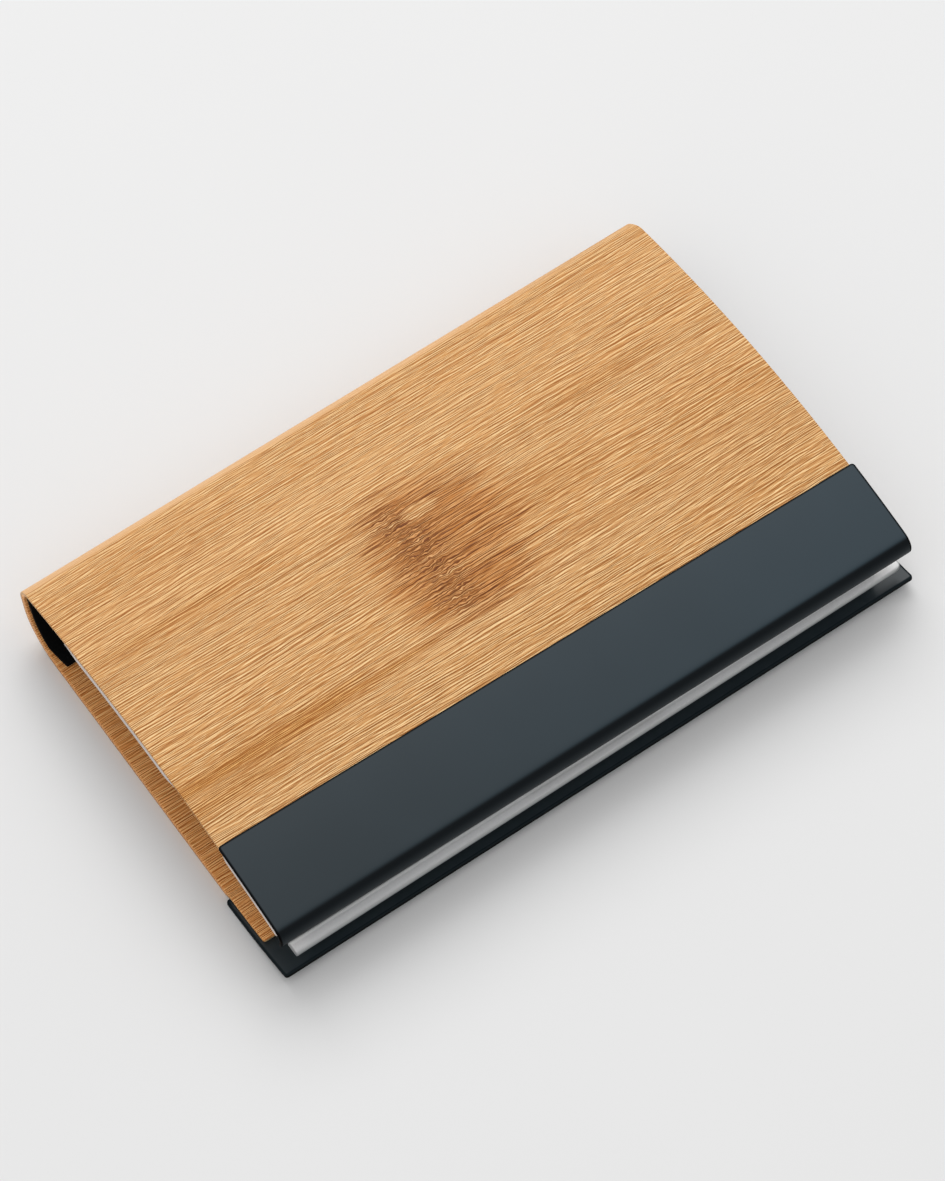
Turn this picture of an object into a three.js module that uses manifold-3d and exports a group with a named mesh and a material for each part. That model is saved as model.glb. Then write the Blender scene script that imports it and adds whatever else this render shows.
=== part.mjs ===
// Business card holder: a bamboo wrap that folds round a steel card tray.
//
// Millimetres, +Z up. X runs along the holder, -Y is the opening edge with the lacquered bands,
// +Y is the folding spine. The origin is on the table, under the middle of the closed holder.
// The back cover lies on the table and carries the tray. The front cover lies over it and opens
// round two folds of the spine, and magnets in its edge hold it down on the tray.

import * as THREE from 'three';
import { mergeVertices } from 'three/addons/utils/BufferGeometryUtils.js';
import Module from 'manifold-3d';

const wasm = await Module();
wasm.setup();

// Overall size of the closed holder
const caseLength = 97.0;      // bamboo wrap, along X
const caseDepth = 61.7;       // spine to opening edge, along Y
const caseHeight = 14.0;      // table to the crown of the front cover

// Front cover: a shallow arch, its crown a little behind the middle
const archRadius = 133.0;
const crownY = 1.05;
const frontVeneer = 0.5;      // bamboo
const plateThickness = 1.1;   // steel plate under the bamboo
const liningThickness = 0.5;  // felt under the plate
const liningInset = 3.2;      // from each end of the wrap

// Spine and back cover
const cornerRadius = 1.9;     // upper fold, where the spine meets the front cover
const lowerBend = 7.1;        // rounded lower edge, where the spine meets the back cover
const spineLean = THREE.MathUtils.degToRad(10.6);
const spineVeneer = 1.0;
const backVeneer = 1.25;
const foldGap = 0.3;          // score line of each fold

// Layers are glued, with this much room for the glue
const glueGap = 0.1;

// Black liner that carries the folds
const linerThickness = 0.5;
const linerInset = 0.35;      // from each end of the wrap
const linerFootInset = 1.0;   // the same on the back cover, where the liner is cut narrower
const linerFootReach = 1.85;  // the narrow part ends this far up the lower edge
const linerOnFront = 12.6;    // how far it reaches under the front cover, from the spine
const linerOnBack = 1.5;      // how far it reaches onto the flat of the back cover

// Lacquered bands along the opening edge
const frontBandWidth = 14.7;  // along Y, lip left out
const frontBandSheet = 0.45;
const frontBandOverhang = 0.4;
const noseRadius = 2.1;       // the front band's edge curls down round this
const noseSetback = 1.1;      // from the back band's edge
const lipAngle = THREE.MathUtils.degToRad(45);
const backBandWidth = 13.8;
const backBandSheet = 0.7;
const backBandSweep = 55.0;   // radius that lifts its edge off the table
const backBandOverhang = 0.9;
const bandCorner = 0.5;       // corner radius, seen from above
const backCoverSetback = 5.9; // bamboo stops this far behind the back band's edge
const backCoverSweep = 64.0;  // radius of the bamboo's upper face near the opening edge

// Card tray, with its rail and magnets
const trayEndReach = 3.1;     // from each end of the wrap to the tray
const trayFrontReach = 2.95;  // from the back band's edge to the tray
const traySheet = 0.5;
const trayBend = 1.5;
const tapeThickness = 0.9;    // foam tape under the tray
const tapeEndInset = 2.4;
const strikeWidth = 2.6;      // inward flange of the front wall, which the magnets hold
const thumbWidth = 22.0;      // notch in the front wall, to push the cards out
const thumbCorner = 1.6;
const railTop = 4.6;
const railSheet = 0.6;
const railSetback = 0.85;     // from the back band's edge
const railCorner = 1.5;       // rounded right end
const railLeftInset = 1.7;    // from the wrap's left end
const railRightInset = 0.3;
const magnetLength = 20.0;
const magnetWidth = 2.8;
const magnetRoof = 0.4;       // carrier over each magnet
const magnetGap = 0.3;        // magnets to the tray, closed
const pocketClearance = 0.1;
const carrierWidth = 3.8;
const carrierHeight = 1.45;   // at its front edge
const carrierEndInset = 5.5;
const magnetPlace = 0.34;     // share of the carrier's length from its middle to each magnet

const fineSegments = 10;
const archSegments = 26;

// Derived places
const halfLength = caseLength / 2;
const halfDepth = caseDepth / 2;
const archCentre = { y: crownY, z: caseHeight - archRadius };
const plateOuter = archRadius - frontVeneer - glueGap;
const plateInner = plateOuter - plateThickness;
const liningOuter = plateInner - glueGap;
const frontBandOuter = archRadius + glueGap + frontBandSheet;
const noseY = -halfDepth + noseSetback + noseRadius;
const nose = { y: noseY, z: tangentHeight(noseY, frontBandOuter, noseRadius) };
const corner = {
  y: halfDepth - cornerRadius,
  z: tangentHeight(halfDepth - cornerRadius, archRadius, cornerRadius),
};
const bendRun = (lowerBend - cornerRadius + (corner.z - lowerBend) * Math.sin(spineLean)) / Math.cos(spineLean);
const bend = { y: corner.y - bendRun, z: lowerBend };
const archSeam = Math.atan2(corner.z - archCentre.z, corner.y - archCentre.y);
const sweepY = -halfDepth + backBandWidth;
const trayFront = -halfDepth + trayFrontReach;
const trayRear = bend.y + trayBend;
const trayFloor = backVeneer + tapeThickness;
const carrierFront = trayFront + 0.4;
const carrierBottom = archHeight(carrierFront, liningOuter) - carrierHeight;
const trayTop = carrierBottom - magnetGap;
const trayLength = caseLength - 2 * trayEndReach;
const carrierLength = caseLength - 2 * carrierEndInset;
const magnetX = magnetPlace * carrierLength;

// Height of a circle of the given radius that lies inside the arch and touches it, at y
function tangentHeight(y, outerRadius, radius) {
  const reach = outerRadius - radius;
  return archCentre.z + Math.sqrt(reach * reach - (y - archCentre.y) ** 2);
}

// Height of an arch layer at y
function archHeight(y, radius) {
  return archCentre.z + Math.sqrt(radius * radius - (y - archCentre.y) ** 2);
}

// Angle, at the arch's centre, of a place y on a layer
function archAngle(y, radius) {
  return Math.acos((y - archCentre.y) / radius);
}

// A section drawn in Y and Z, carried along X between two ends
function alongX(section, xStart, xEnd, segments = fineSegments) {
  const geometry = new THREE.ExtrudeGeometry(section, {
    depth: xEnd - xStart,
    bevelEnabled: false,
    curveSegments: segments,
  });
  const toYZ = new THREE.Matrix4().makeBasis(
    new THREE.Vector3(0, 1, 0),
    new THREE.Vector3(0, 0, 1),
    new THREE.Vector3(1, 0, 0),
  );
  geometry.applyMatrix4(toYZ);
  geometry.translate(xStart, 0, 0);
  return geometry;
}

// An outline drawn in X and Y, carried up Z
function alongZ(outline, zStart, zEnd) {
  const geometry = new THREE.ExtrudeGeometry(outline, {
    depth: zEnd - zStart,
    bevelEnabled: false,
    curveSegments: fineSegments,
  });
  geometry.translate(0, 0, zStart);
  return geometry;
}

// An outline drawn in X and Z, carried along Y
function alongY(outline, yStart, yEnd) {
  const geometry = new THREE.ExtrudeGeometry(outline, {
    depth: yEnd - yStart,
    bevelEnabled: false,
    curveSegments: fineSegments,
  });
  geometry.rotateX(Math.PI / 2);
  geometry.translate(0, yEnd, 0);
  return geometry;
}

// Rectangle from (left, low) to (right, high), with a radius of its own at each corner,
// counter-clockwise from the lower left one
function roundedRectangle(left, right, low, high, radii) {
  const [lowerLeft, lowerRight, upperRight, upperLeft] = radii;
  const outline = new THREE.Shape();
  const quarter = Math.PI / 2;
  const corners = [
    [left, low, lowerLeft, 1, 1, 2],
    [right, low, lowerRight, -1, 1, 3],
    [right, high, upperRight, -1, -1, 0],
    [left, high, upperLeft, 1, -1, 1],
  ];
  for (const [x, z, radius, towardX, towardZ, turn] of corners) {
    if (radius > 0) {
      const start = turn * quarter;
      outline.absarc(x + towardX * radius, z + towardZ * radius, radius, start, start + quarter, false);
    } else if (outline.curves.length === 0 && outline.currentPoint.length() === 0) {
      outline.moveTo(x, z);
    } else {
      outline.lineTo(x, z);
    }
  }
  outline.closePath();
  return outline;
}

function toSolid(geometry) {
  const bare = geometry.clone();
  bare.deleteAttribute('normal');
  bare.deleteAttribute('uv');
  const merged = mergeVertices(bare, 1e-4);
  return new wasm.Manifold(new wasm.Mesh({
    numProp: 3,
    vertProperties: new Float32Array(merged.attributes.position.array),
    triVerts: new Uint32Array(merged.index.array),
  }));
}

function toGeometry(solid) {
  const mesh = solid.getMesh();
  const geometry = new THREE.BufferGeometry();
  geometry.setAttribute('position', new THREE.BufferAttribute(mesh.vertProperties, 3));
  geometry.setIndex(new THREE.BufferAttribute(mesh.triVerts, 1));
  geometry.computeVertexNormals();
  return geometry;
}

// A layer of the arch between two radii, from a rear angle to a front angle
function archLayer(outerRadius, innerRadius, rearAngle, frontAngle) {
  const section = new THREE.Shape();
  section.absarc(archCentre.y, archCentre.z, outerRadius, rearAngle, frontAngle, false);
  section.absarc(archCentre.y, archCentre.z, innerRadius, frontAngle, rearAngle, true);
  section.closePath();
  return section;
}

// A layer that lines the spine: it rises along the leaning wall and turns round the upper fold
function spineLayer(outerOffset, innerOffset) {
  const start = bendTangent(outerOffset, foldGap);
  const innerStart = bendTangent(innerOffset, foldGap);
  const section = new THREE.Shape();
  section.moveTo(start.y, start.z);
  section.absarc(corner.y, corner.z, cornerRadius - outerOffset, -spineLean, archSeam, false);
  section.absarc(corner.y, corner.z, cornerRadius - innerOffset, archSeam, -spineLean, true);
  section.lineTo(innerStart.y, innerStart.z);
  section.closePath();
  return section;
}

// Point at a depth inside the wall where the lower bend ends, raised along the wall
function bendTangent(offset, rise) {
  const reach = lowerBend - offset;
  return {
    y: bend.y + reach * Math.cos(spineLean) + rise * Math.sin(spineLean),
    z: bend.z - reach * Math.sin(spineLean) + rise * Math.cos(spineLean),
  };
}

function backCover() {
  const front = -halfDepth + backCoverSetback;
  const sweepCentre = backBandSweep;
  const underRadius = backBandSweep - backBandSheet - glueGap;
  const rebate = sweepY + foldGap;
  const faceStart = sweepY + 2;
  const faceCentre = backVeneer + backCoverSweep;
  const below = 1.5 * Math.PI;
  const underEnd = below - Math.asin((sweepY - front) / underRadius);
  const faceEnd = below - Math.asin((faceStart - front) / backCoverSweep);
  const section = new THREE.Shape();
  section.absarc(bend.y, bend.z, lowerBend, -spineLean, -Math.PI / 2, true);
  section.lineTo(rebate, 0);
  section.lineTo(rebate, backBandSheet + glueGap);
  section.absarc(sweepY, sweepCentre, underRadius, below, underEnd, true);
  section.absarc(faceStart, faceCentre, backCoverSweep, faceEnd, below, false);
  section.absarc(bend.y, bend.z, lowerBend - backVeneer, -Math.PI / 2, -spineLean, false);
  section.closePath();
  const sheet = toSolid(alongX(section, -halfLength, halfLength));
  const radii = [bandCorner, bandCorner, 0, 0];
  const plan = roundedRectangle(-halfLength, halfLength, front, halfDepth + 1, radii);
  return toGeometry(sheet.intersect(toSolid(alongZ(plan, -1, caseHeight))));
}

function backBand() {
  const below = 1.5 * Math.PI;
  const end = below - Math.asin(backBandWidth / backBandSweep);
  const half = halfLength + backBandOverhang;
  const section = new THREE.Shape();
  section.absarc(sweepY, backBandSweep, backBandSweep, end, below, false);
  section.absarc(sweepY, backBandSweep, backBandSweep - backBandSheet, below, end, true);
  section.closePath();
  const sheet = toSolid(alongX(section, -half, half));
  const radii = [bandCorner, bandCorner, bandCorner, bandCorner];
  const plan = roundedRectangle(-half, half, -halfDepth, sweepY, radii);
  return toGeometry(sheet.intersect(toSolid(alongZ(plan, -1, caseHeight))));
}

function spinePanel() {
  return alongX(spineLayer(0, spineVeneer), -halfLength, halfLength);
}

function frontCover() {
  const rear = archSeam + foldGap / archRadius;
  const section = archLayer(archRadius, archRadius - frontVeneer, rear, archAngle(noseY + 0.4, archRadius));
  return alongX(section, -halfLength, halfLength, archSegments);
}

function frontPlate() {
  const rear = archAngle(halfDepth - linerOnFront - foldGap, plateOuter);
  const front = archAngle(noseY - noseRadius / 2, plateOuter);
  return alongX(archLayer(plateOuter, plateInner, rear, front), -halfLength, halfLength, archSegments);
}

function coverLining() {
  const rear = archAngle(halfDepth - linerOnFront - foldGap, liningOuter);
  const front = archAngle(carrierFront + carrierWidth + foldGap, liningOuter);
  const half = halfLength - liningInset;
  return alongX(archLayer(liningOuter, liningOuter - liningThickness, rear, front), -half, half, archSegments);
}

// The front band follows the arch, then curls down round the nose and ends in a lip
function frontBand() {
  const half = halfLength + frontBandOverhang;
  const rearY = -halfDepth + frontBandWidth;
  const seam = Math.atan2(nose.z - archCentre.z, nose.y - archCentre.y);
  const lip = Math.PI + lipAngle;
  const inner = noseRadius - frontBandSheet;
  const rear = archAngle(rearY, frontBandOuter);
  const section = new THREE.Shape();
  section.absarc(archCentre.y, archCentre.z, frontBandOuter, rear, seam, false);
  section.absarc(nose.y, nose.z, noseRadius, seam, lip, false);
  section.absarc(nose.y, nose.z, inner, lip, seam, true);
  section.absarc(archCentre.y, archCentre.z, frontBandOuter - frontBandSheet, seam, rear, true);
  section.closePath();
  const sheet = toSolid(alongX(section, -half, half));
  const planRadii = [0, 0, bandCorner, bandCorner];
  const plan = roundedRectangle(-half, half, -halfDepth - 1, rearY, planRadii);
  const lipEnd = nose.z - noseRadius * Math.sin(lipAngle);
  const faceRadii = [bandCorner, bandCorner, 0, 0];
  const face = roundedRectangle(-half, half, lipEnd, caseHeight + 1, faceRadii);
  const planPrism = toSolid(alongZ(plan, 0, caseHeight + 1));
  const facePrism = toSolid(alongY(face, -halfDepth - 1, halfDepth));
  return toGeometry(sheet.intersect(planPrism).intersect(facePrism));
}

function linerOnSpine() {
  const outer = spineVeneer + glueGap;
  const half = halfLength - linerInset;
  return alongX(spineLayer(outer, outer + linerThickness), -half, half);
}

function linerOnCover() {
  const half = halfLength - linerInset;
  const rear = archSeam + foldGap / archRadius;
  const front = archAngle(halfDepth - linerOnFront, plateOuter);
  return alongX(archLayer(plateOuter, plateOuter - linerThickness, rear, front), -half, half);
}

function linerOnBase() {
  const half = halfLength - linerInset;
  const outer = lowerBend - backVeneer - glueGap;
  const inner = outer - linerThickness;
  const front = bend.y - linerOnBack;
  const section = new THREE.Shape();
  section.absarc(bend.y, bend.z, outer, -spineLean, -Math.PI / 2, true);
  section.lineTo(front, bend.z - outer);
  section.lineTo(front, bend.z - inner);
  section.absarc(bend.y, bend.z, inner, -Math.PI / 2, -spineLean, false);
  section.closePath();
  let liner = toSolid(alongX(section, -half, half));
  const rear = bend.y + linerFootReach;
  for (const side of [-1, 1]) {
    const cut = new THREE.BoxGeometry(2 * (linerFootInset - linerInset), rear - front + 1, lowerBend);
    cut.translate(side * half, (rear + front - 1) / 2, 0);
    liner = liner.subtract(toSolid(cut));
  }
  return toGeometry(liner);
}

function trayTape() {
  const rear = bend.y - linerOnBack - foldGap;
  const front = sweepY + 2 + foldGap;
  const half = trayLength / 2 - tapeEndInset;
  const section = roundedRectangle(front, rear, backVeneer, trayFloor, [0, 0, 0, 0]);
  return alongX(section, -half, half);
}

// Pressed tray: a floor with four walls, a strike flange on the front wall and a thumb notch
function cardTray() {
  const half = trayLength / 2;
  const bendRadii = [trayBend, trayBend, 0, 0];
  const innerBend = trayBend - traySheet;
  const outerSection = roundedRectangle(trayFront, trayRear, trayFloor, trayTop, bendRadii);
  const innerSection = roundedRectangle(
    trayFront + traySheet,
    trayRear - traySheet,
    trayFloor + traySheet,
    trayTop + 1,
    [innerBend, innerBend, 0, 0],
  );
  const outerSolid = toSolid(alongX(outerSection, -half, half));
  const innerSolid = toSolid(alongX(innerSection, -half + traySheet, half - traySheet));
  const strikeSection = roundedRectangle(
    trayFront + traySheet / 2,
    trayFront + traySheet + strikeWidth,
    trayTop - traySheet,
    trayTop,
    [0, 0, 0, 0],
  );
  const strike = toSolid(alongX(strikeSection, -half + traySheet / 2, half - traySheet / 2));
  const notchOutline = roundedRectangle(
    -thumbWidth / 2,
    thumbWidth / 2,
    railTop + traySheet,
    trayTop + 1,
    [thumbCorner, thumbCorner, 0, 0],
  );
  const notchEnd = trayFront + traySheet + strikeWidth + 1;
  const notch = toSolid(alongY(notchOutline, trayFront - 1, notchEnd));
  return toGeometry(outerSolid.subtract(innerSolid).add(strike).subtract(notch));
}

// Steel rail on the tray's front wall: a flat strip, square at its left end and rounded at its right one
function frontRail() {
  const front = -halfDepth + railSetback;
  const left = -halfLength + railLeftInset;
  const right = halfLength - railRightInset;
  const plan = roundedRectangle(left, right, front, trayFront, [0, railCorner, 0, 0]);
  return alongZ(plan, railTop - railSheet, railTop);
}

// Moulded strip under the plate that holds the magnets, its top shaped to the arch
function magnetCarrier() {
  const half = carrierLength / 2;
  const rear = carrierFront + carrierWidth;
  const section = new THREE.Shape();
  section.moveTo(carrierFront, carrierBottom);
  section.lineTo(rear, carrierBottom);
  section.absarc(
    archCentre.y,
    archCentre.z,
    liningOuter,
    archAngle(rear, liningOuter),
    archAngle(carrierFront, liningOuter),
    false,
  );
  section.closePath();
  let strip = toSolid(alongX(section, -half, half));
  for (const side of [-1, 1]) {
    const pocket = new THREE.BoxGeometry(
      magnetLength + 2 * pocketClearance,
      magnetWidth + 2 * pocketClearance,
      2 * (magnetHeight() + pocketClearance),
    );
    pocket.translate(side * magnetX, magnetY(), carrierBottom);
    strip = strip.subtract(toSolid(pocket));
  }
  return toGeometry(strip);
}

function magnetHeight() {
  return carrierHeight - magnetRoof - pocketClearance;
}

function magnetY() {
  return carrierFront + carrierWidth / 2;
}

function magnet() {
  return new THREE.BoxGeometry(magnetLength, magnetWidth, magnetHeight());
}

const bamboo = { color: 0xc99a66, roughness: 0.55, metalness: 0.0 };
const lacquer = { color: 0x3c4a54, roughness: 0.45, metalness: 0.2 };
const steel = { color: 0xb9bcbe, roughness: 0.3, metalness: 1.0 };
const black = { color: 0x16161a, roughness: 0.8, metalness: 0.0 };
const felt = { color: 0x2a2c30, roughness: 0.95, metalness: 0.0 };
const plastic = { color: 0x202124, roughness: 0.5, metalness: 0.0 };
const foam = { color: 0xd8d8d2, roughness: 0.9, metalness: 0.0 };
const nickel = { color: 0xa9abae, roughness: 0.25, metalness: 1.0 };

function piece(name, geometry, finish) {
  const mesh = new THREE.Mesh(geometry, new THREE.MeshStandardMaterial(finish));
  mesh.name = name;
  return mesh;
}

function base() {
  const group = new THREE.Group();
  group.add(piece('back_cover', backCover(), bamboo));
  group.add(piece('back_band', backBand(), lacquer));
  group.add(piece('spine_liner_base', linerOnBase(), black));
  group.add(piece('tray_tape', trayTape(), foam));
  group.add(piece('card_tray', cardTray(), steel));
  group.add(piece('front_rail', frontRail(), steel));
  return group;
}

function spine() {
  const group = new THREE.Group();
  group.add(piece('spine_panel', spinePanel(), bamboo));
  group.add(piece('spine_liner_fold', linerOnSpine(), black));
  return group;
}

function cover() {
  const group = new THREE.Group();
  group.add(piece('front_cover', frontCover(), bamboo));
  group.add(piece('front_band', frontBand(), lacquer));
  group.add(piece('front_plate', frontPlate(), steel));
  group.add(piece('cover_lining', coverLining(), felt));
  group.add(piece('spine_liner_cover', linerOnCover(), black));
  group.add(piece('magnet_carrier', magnetCarrier(), plastic));
  for (const [name, side] of [['magnet_left', -1], ['magnet_right', 1]]) {
    const bar = piece(name, magnet(), nickel);
    bar.position.set(side * magnetX, magnetY(), carrierBottom + magnetHeight() / 2);
    group.add(bar);
  }
  return group;
}

const holder = new THREE.Group();
holder.add(base(), spine(), cover());

export default holder;
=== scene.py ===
# %% [markdown]
# # Folding bamboo card case
# A bamboo wrap folds round a pressed steel tray for business cards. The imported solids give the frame: sizes,
# bodies and joints. They could be shown as they are, but their edges are sharp and their folds are open gaps.
# So each visible piece is built again here as a computed surface with rounded edges, and takes a material of
# its own. Lengths in the script are in millimetres until a mesh is written, because the case is small.
# X runs along the case, -Y is the opening edge with the lacquered bands, and +Y is the spine.

# %% Load the frame
import math

import bpy
import numpy as np
from mathutils import Matrix, Vector


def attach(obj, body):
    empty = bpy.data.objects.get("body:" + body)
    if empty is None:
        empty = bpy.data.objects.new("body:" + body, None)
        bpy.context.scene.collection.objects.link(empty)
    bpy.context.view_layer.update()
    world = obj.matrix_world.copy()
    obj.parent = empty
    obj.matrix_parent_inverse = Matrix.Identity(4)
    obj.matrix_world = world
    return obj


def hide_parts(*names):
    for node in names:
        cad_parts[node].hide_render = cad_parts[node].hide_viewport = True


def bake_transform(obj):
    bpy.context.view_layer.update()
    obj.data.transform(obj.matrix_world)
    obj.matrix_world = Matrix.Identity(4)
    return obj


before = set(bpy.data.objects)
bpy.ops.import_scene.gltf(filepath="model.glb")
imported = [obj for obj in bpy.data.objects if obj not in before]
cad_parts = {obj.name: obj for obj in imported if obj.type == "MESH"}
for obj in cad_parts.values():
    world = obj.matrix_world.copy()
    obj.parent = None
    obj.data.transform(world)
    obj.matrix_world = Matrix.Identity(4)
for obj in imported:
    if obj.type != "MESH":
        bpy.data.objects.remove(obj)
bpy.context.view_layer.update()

# %% [markdown]
# ## Sizes
# These are the sizes of the solids, with a softer upper fold. The front cover is a shallow arch. The spine
# is a leaning wall between a large rounded edge below and a small fold above. All layers are worked out from
# the same few arcs, so bamboo, liner and steel stay the same distance apart when a size changes.
# In the photograph the spine runs back a little from left to right, which may be the real case or what is
# left over from fitting the camera. ASKEW is that slope, and SPINE_OUT is its shift at the middle.

# %% Sizes in millimetres
MM = 0.001
HALF_LENGTH = 48.5
HALF_DEPTH = 30.85
HEIGHT = 14.0
ARCH_RADIUS = 133.0
ARCH_CENTRE = (1.05, HEIGHT - ARCH_RADIUS)
CORNER_RADIUS = 2.6
BEND_RADIUS = 7.1
SPINE_LEAN = 10.6
GLUE = 0.1
FRONT_VENEER = 0.5
SPINE_VENEER = 1.0
BACK_VENEER = 1.25
ASKEW = 0.0077
SPINE_OUT = 0.25


def on_arch(y, radius):
    """Height of an arch layer at y: the centre's height plus the root of radius squared less the offset
    squared."""
    return ARCH_CENTRE[1] + math.sqrt(radius * radius - (y - ARCH_CENTRE[0]) ** 2)


def touching(y, outer_radius, radius):
    """Height of the centre, at y, of a circle that lies inside the arch and touches it."""
    return on_arch(y, outer_radius - radius)


LEAN = math.radians(SPINE_LEAN)
corner_y = HALF_DEPTH - CORNER_RADIUS
CORNER = (corner_y, touching(corner_y, ARCH_RADIUS, CORNER_RADIUS))
bend_run = (BEND_RADIUS - CORNER_RADIUS + (CORNER[1] - BEND_RADIUS) * math.sin(LEAN)) / math.cos(LEAN)
BEND = (CORNER[0] - bend_run, BEND_RADIUS)
print("upper fold's centre:", np.round(CORNER, 2), "lower bend's centre:", np.round(BEND, 2))

# %% [markdown]
# ## Curves
# Every bent sheet of the case has the same section all along X. Bezier curves could draw it, but arcs and
# lines are what the sheets were really bent to. A section is a dense run of points in Y and Z. An offset
# curve moves every point along the curve's normal, which gives the next layer in.

# %% Arcs, lines and layers
def arc(centre, radius, start, end, count=40):
    """Points on a circle between two angles in degrees: centre plus radius times (cosine, sine)."""
    a = np.radians(np.linspace(start, end, count))
    return np.column_stack([centre[0] + radius * np.cos(a), centre[1] + radius * np.sin(a)])


def line(start, end, count=12):
    """Evenly spaced points between two points: (1 - t) times the start plus t times the end."""
    t = np.linspace(0, 1, count)[:, None]
    return (1 - t) * np.array(start, float) + t * np.array(end, float)


def chain(*parts):
    """The parts joined end to end, without repeated points."""
    points = np.vstack(parts)
    keep = np.r_[True, np.linalg.norm(np.diff(points, axis=0), axis=1) > 1e-6]
    return points[keep]


def lengths(points):
    """Distance along a curve at each of its points."""
    return np.r_[0, np.cumsum(np.linalg.norm(np.diff(points, axis=0), axis=1))]


def resample(points, step):
    """The same curve with points about one step apart."""
    s = lengths(points)
    at = np.linspace(0, s[-1], max(int(round(s[-1] / step)), 2) + 1)
    return np.column_stack([np.interp(at, s, points[:, k]) for k in (0, 1)])


def offset(points, depth):
    """The curve moved to its left by depth, which may be one number or one per point."""
    along = np.gradient(points, axis=0)
    along /= np.linalg.norm(along, axis=1)[:, None]
    normal = np.column_stack([-along[:, 1], along[:, 0]])
    return points + normal * np.reshape(depth, (-1, 1))


def arch_angle(y, radius):
    """Angle in degrees, at the arch's centre, of a place y on a layer: its cosine is the offset over the
    radius."""
    return math.degrees(math.acos((y - ARCH_CENTRE[0]) / radius))


def eased(s, start, end, before, after):
    """A value that goes from before to after between two places, with level ends: 3t squared less 2t cubed."""
    t = np.clip((s - start) / (end - start), 0, 1)
    return before + (after - before) * t * t * (3 - 2 * t)


# %% [markdown]
# ## Writing a mesh
# All pieces reach Blender through one function. It turns millimetres to metres, and keeps two attributes for
# the materials: each point's place on the unrolled sheet, and whether it is on a cut edge. A pattern that
# reads the unrolled place goes round a fold without stretching, as real grain does.

# %% One object from points and faces
def write_mesh(name, parts, flat=None, rim=None):
    """One object from lists of (points in mm, faces). flat holds each point's place on the unrolled sheet,
    and rim is 0 on a sheet's faces and 1 on its cut edge."""
    points, faces, start = [], [], 0
    for part_points, part_faces in parts:
        points.append(np.asarray(part_points, float))
        faces += [[start + i for i in face] for face in part_faces]
        start += len(part_points)
    points = np.vstack(points) * MM
    mesh = bpy.data.meshes.new(name)
    mesh.from_pydata(points.tolist(), [], faces)
    mesh.validate()
    if flat is not None:
        attribute = mesh.attributes.new("flat_mm", "FLOAT_VECTOR", "POINT")
        attribute.data.foreach_set("vector", np.asarray(flat, np.float32).ravel())
        attribute = mesh.attributes.new("rim", "FLOAT", "POINT")
        attribute.data.foreach_set("value", np.asarray(rim, np.float32))
    for polygon in mesh.polygons:
        polygon.use_smooth = True
    mesh.set_sharp_from_angle(angle=math.radians(35))
    obj = bpy.data.objects.new(name, mesh)
    bpy.context.scene.collection.objects.link(obj)
    return obj


# %% [markdown]
# ## Sheets
# Veneer, cloth and sheet metal are all a section carried along X. A Solidify modifier on one surface could
# give the thickness, but not a rounded edge that stays the same where the sheet gets thinner. So a sheet here
# has an outer and an inner curve, and rings of the same outline, each a little further in and deeper, go
# round its rim. The shell is closed, and its faces look outward.

# %% The rim's rings and a sheet's outline
def edge_rings(edge):
    """Rings of a rim of radius edge, from the outer face to the inner one: how far each is in from the
    outline, how deep it is under the nearer face, and which face that is (0 outer, 1 inner)."""
    quarter = np.linspace(0, np.pi / 2, 4)
    rings = [(edge + 0.2, 0.0, 0), (edge, 0.0, 0)]
    rings += [(edge * (1 - math.sin(q)), edge * (1 - math.cos(q)), 0) for q in quarter[1:]]
    rings += [(edge * (1 - math.cos(q)), edge * (1 - math.sin(q)), 1) for q in quarter]
    return rings + [(edge + 0.2, 0.0, 1)]


def corner_reach(distance, radius, inset):
    """How far a rounded corner pulls the side in, at a distance from the end:
    radius less the root of (radius - inset) squared less (radius - distance) squared."""
    if radius <= inset:
        return np.full_like(distance, inset)
    inside = np.maximum((radius - inset) ** 2 - (radius - distance) ** 2, 0)
    pulled = radius - np.sqrt(inside)
    return np.where(distance < radius, pulled, inset)


def stations_along(total, radius, step, along):
    """Places along a sheet: close together at both ends, where the corners curve, and evenly between."""
    near = radius * (1 - np.cos(np.linspace(0, np.pi / 2, 9)))
    if along is None:
        along = np.linspace(radius, total - radius, max(int(total / step), 2) + 1)[1:-1]
    return np.unique(np.round(np.r_[near, along, total - near], 5))


def side_ends(s, total, half, corners, inset, taper):
    """X of a sheet's left and right ends at each station: its half length less the taper and the corner."""
    drawn_in = taper * (1 - s / total)
    at_left = np.maximum(corner_reach(s, corners[0], inset), corner_reach(total - s, corners[2], inset))
    at_right = np.maximum(corner_reach(s, corners[1], inset), corner_reach(total - s, corners[3], inset))
    return half[0] + drawn_in + at_left, half[1] - drawn_in - at_right


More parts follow.
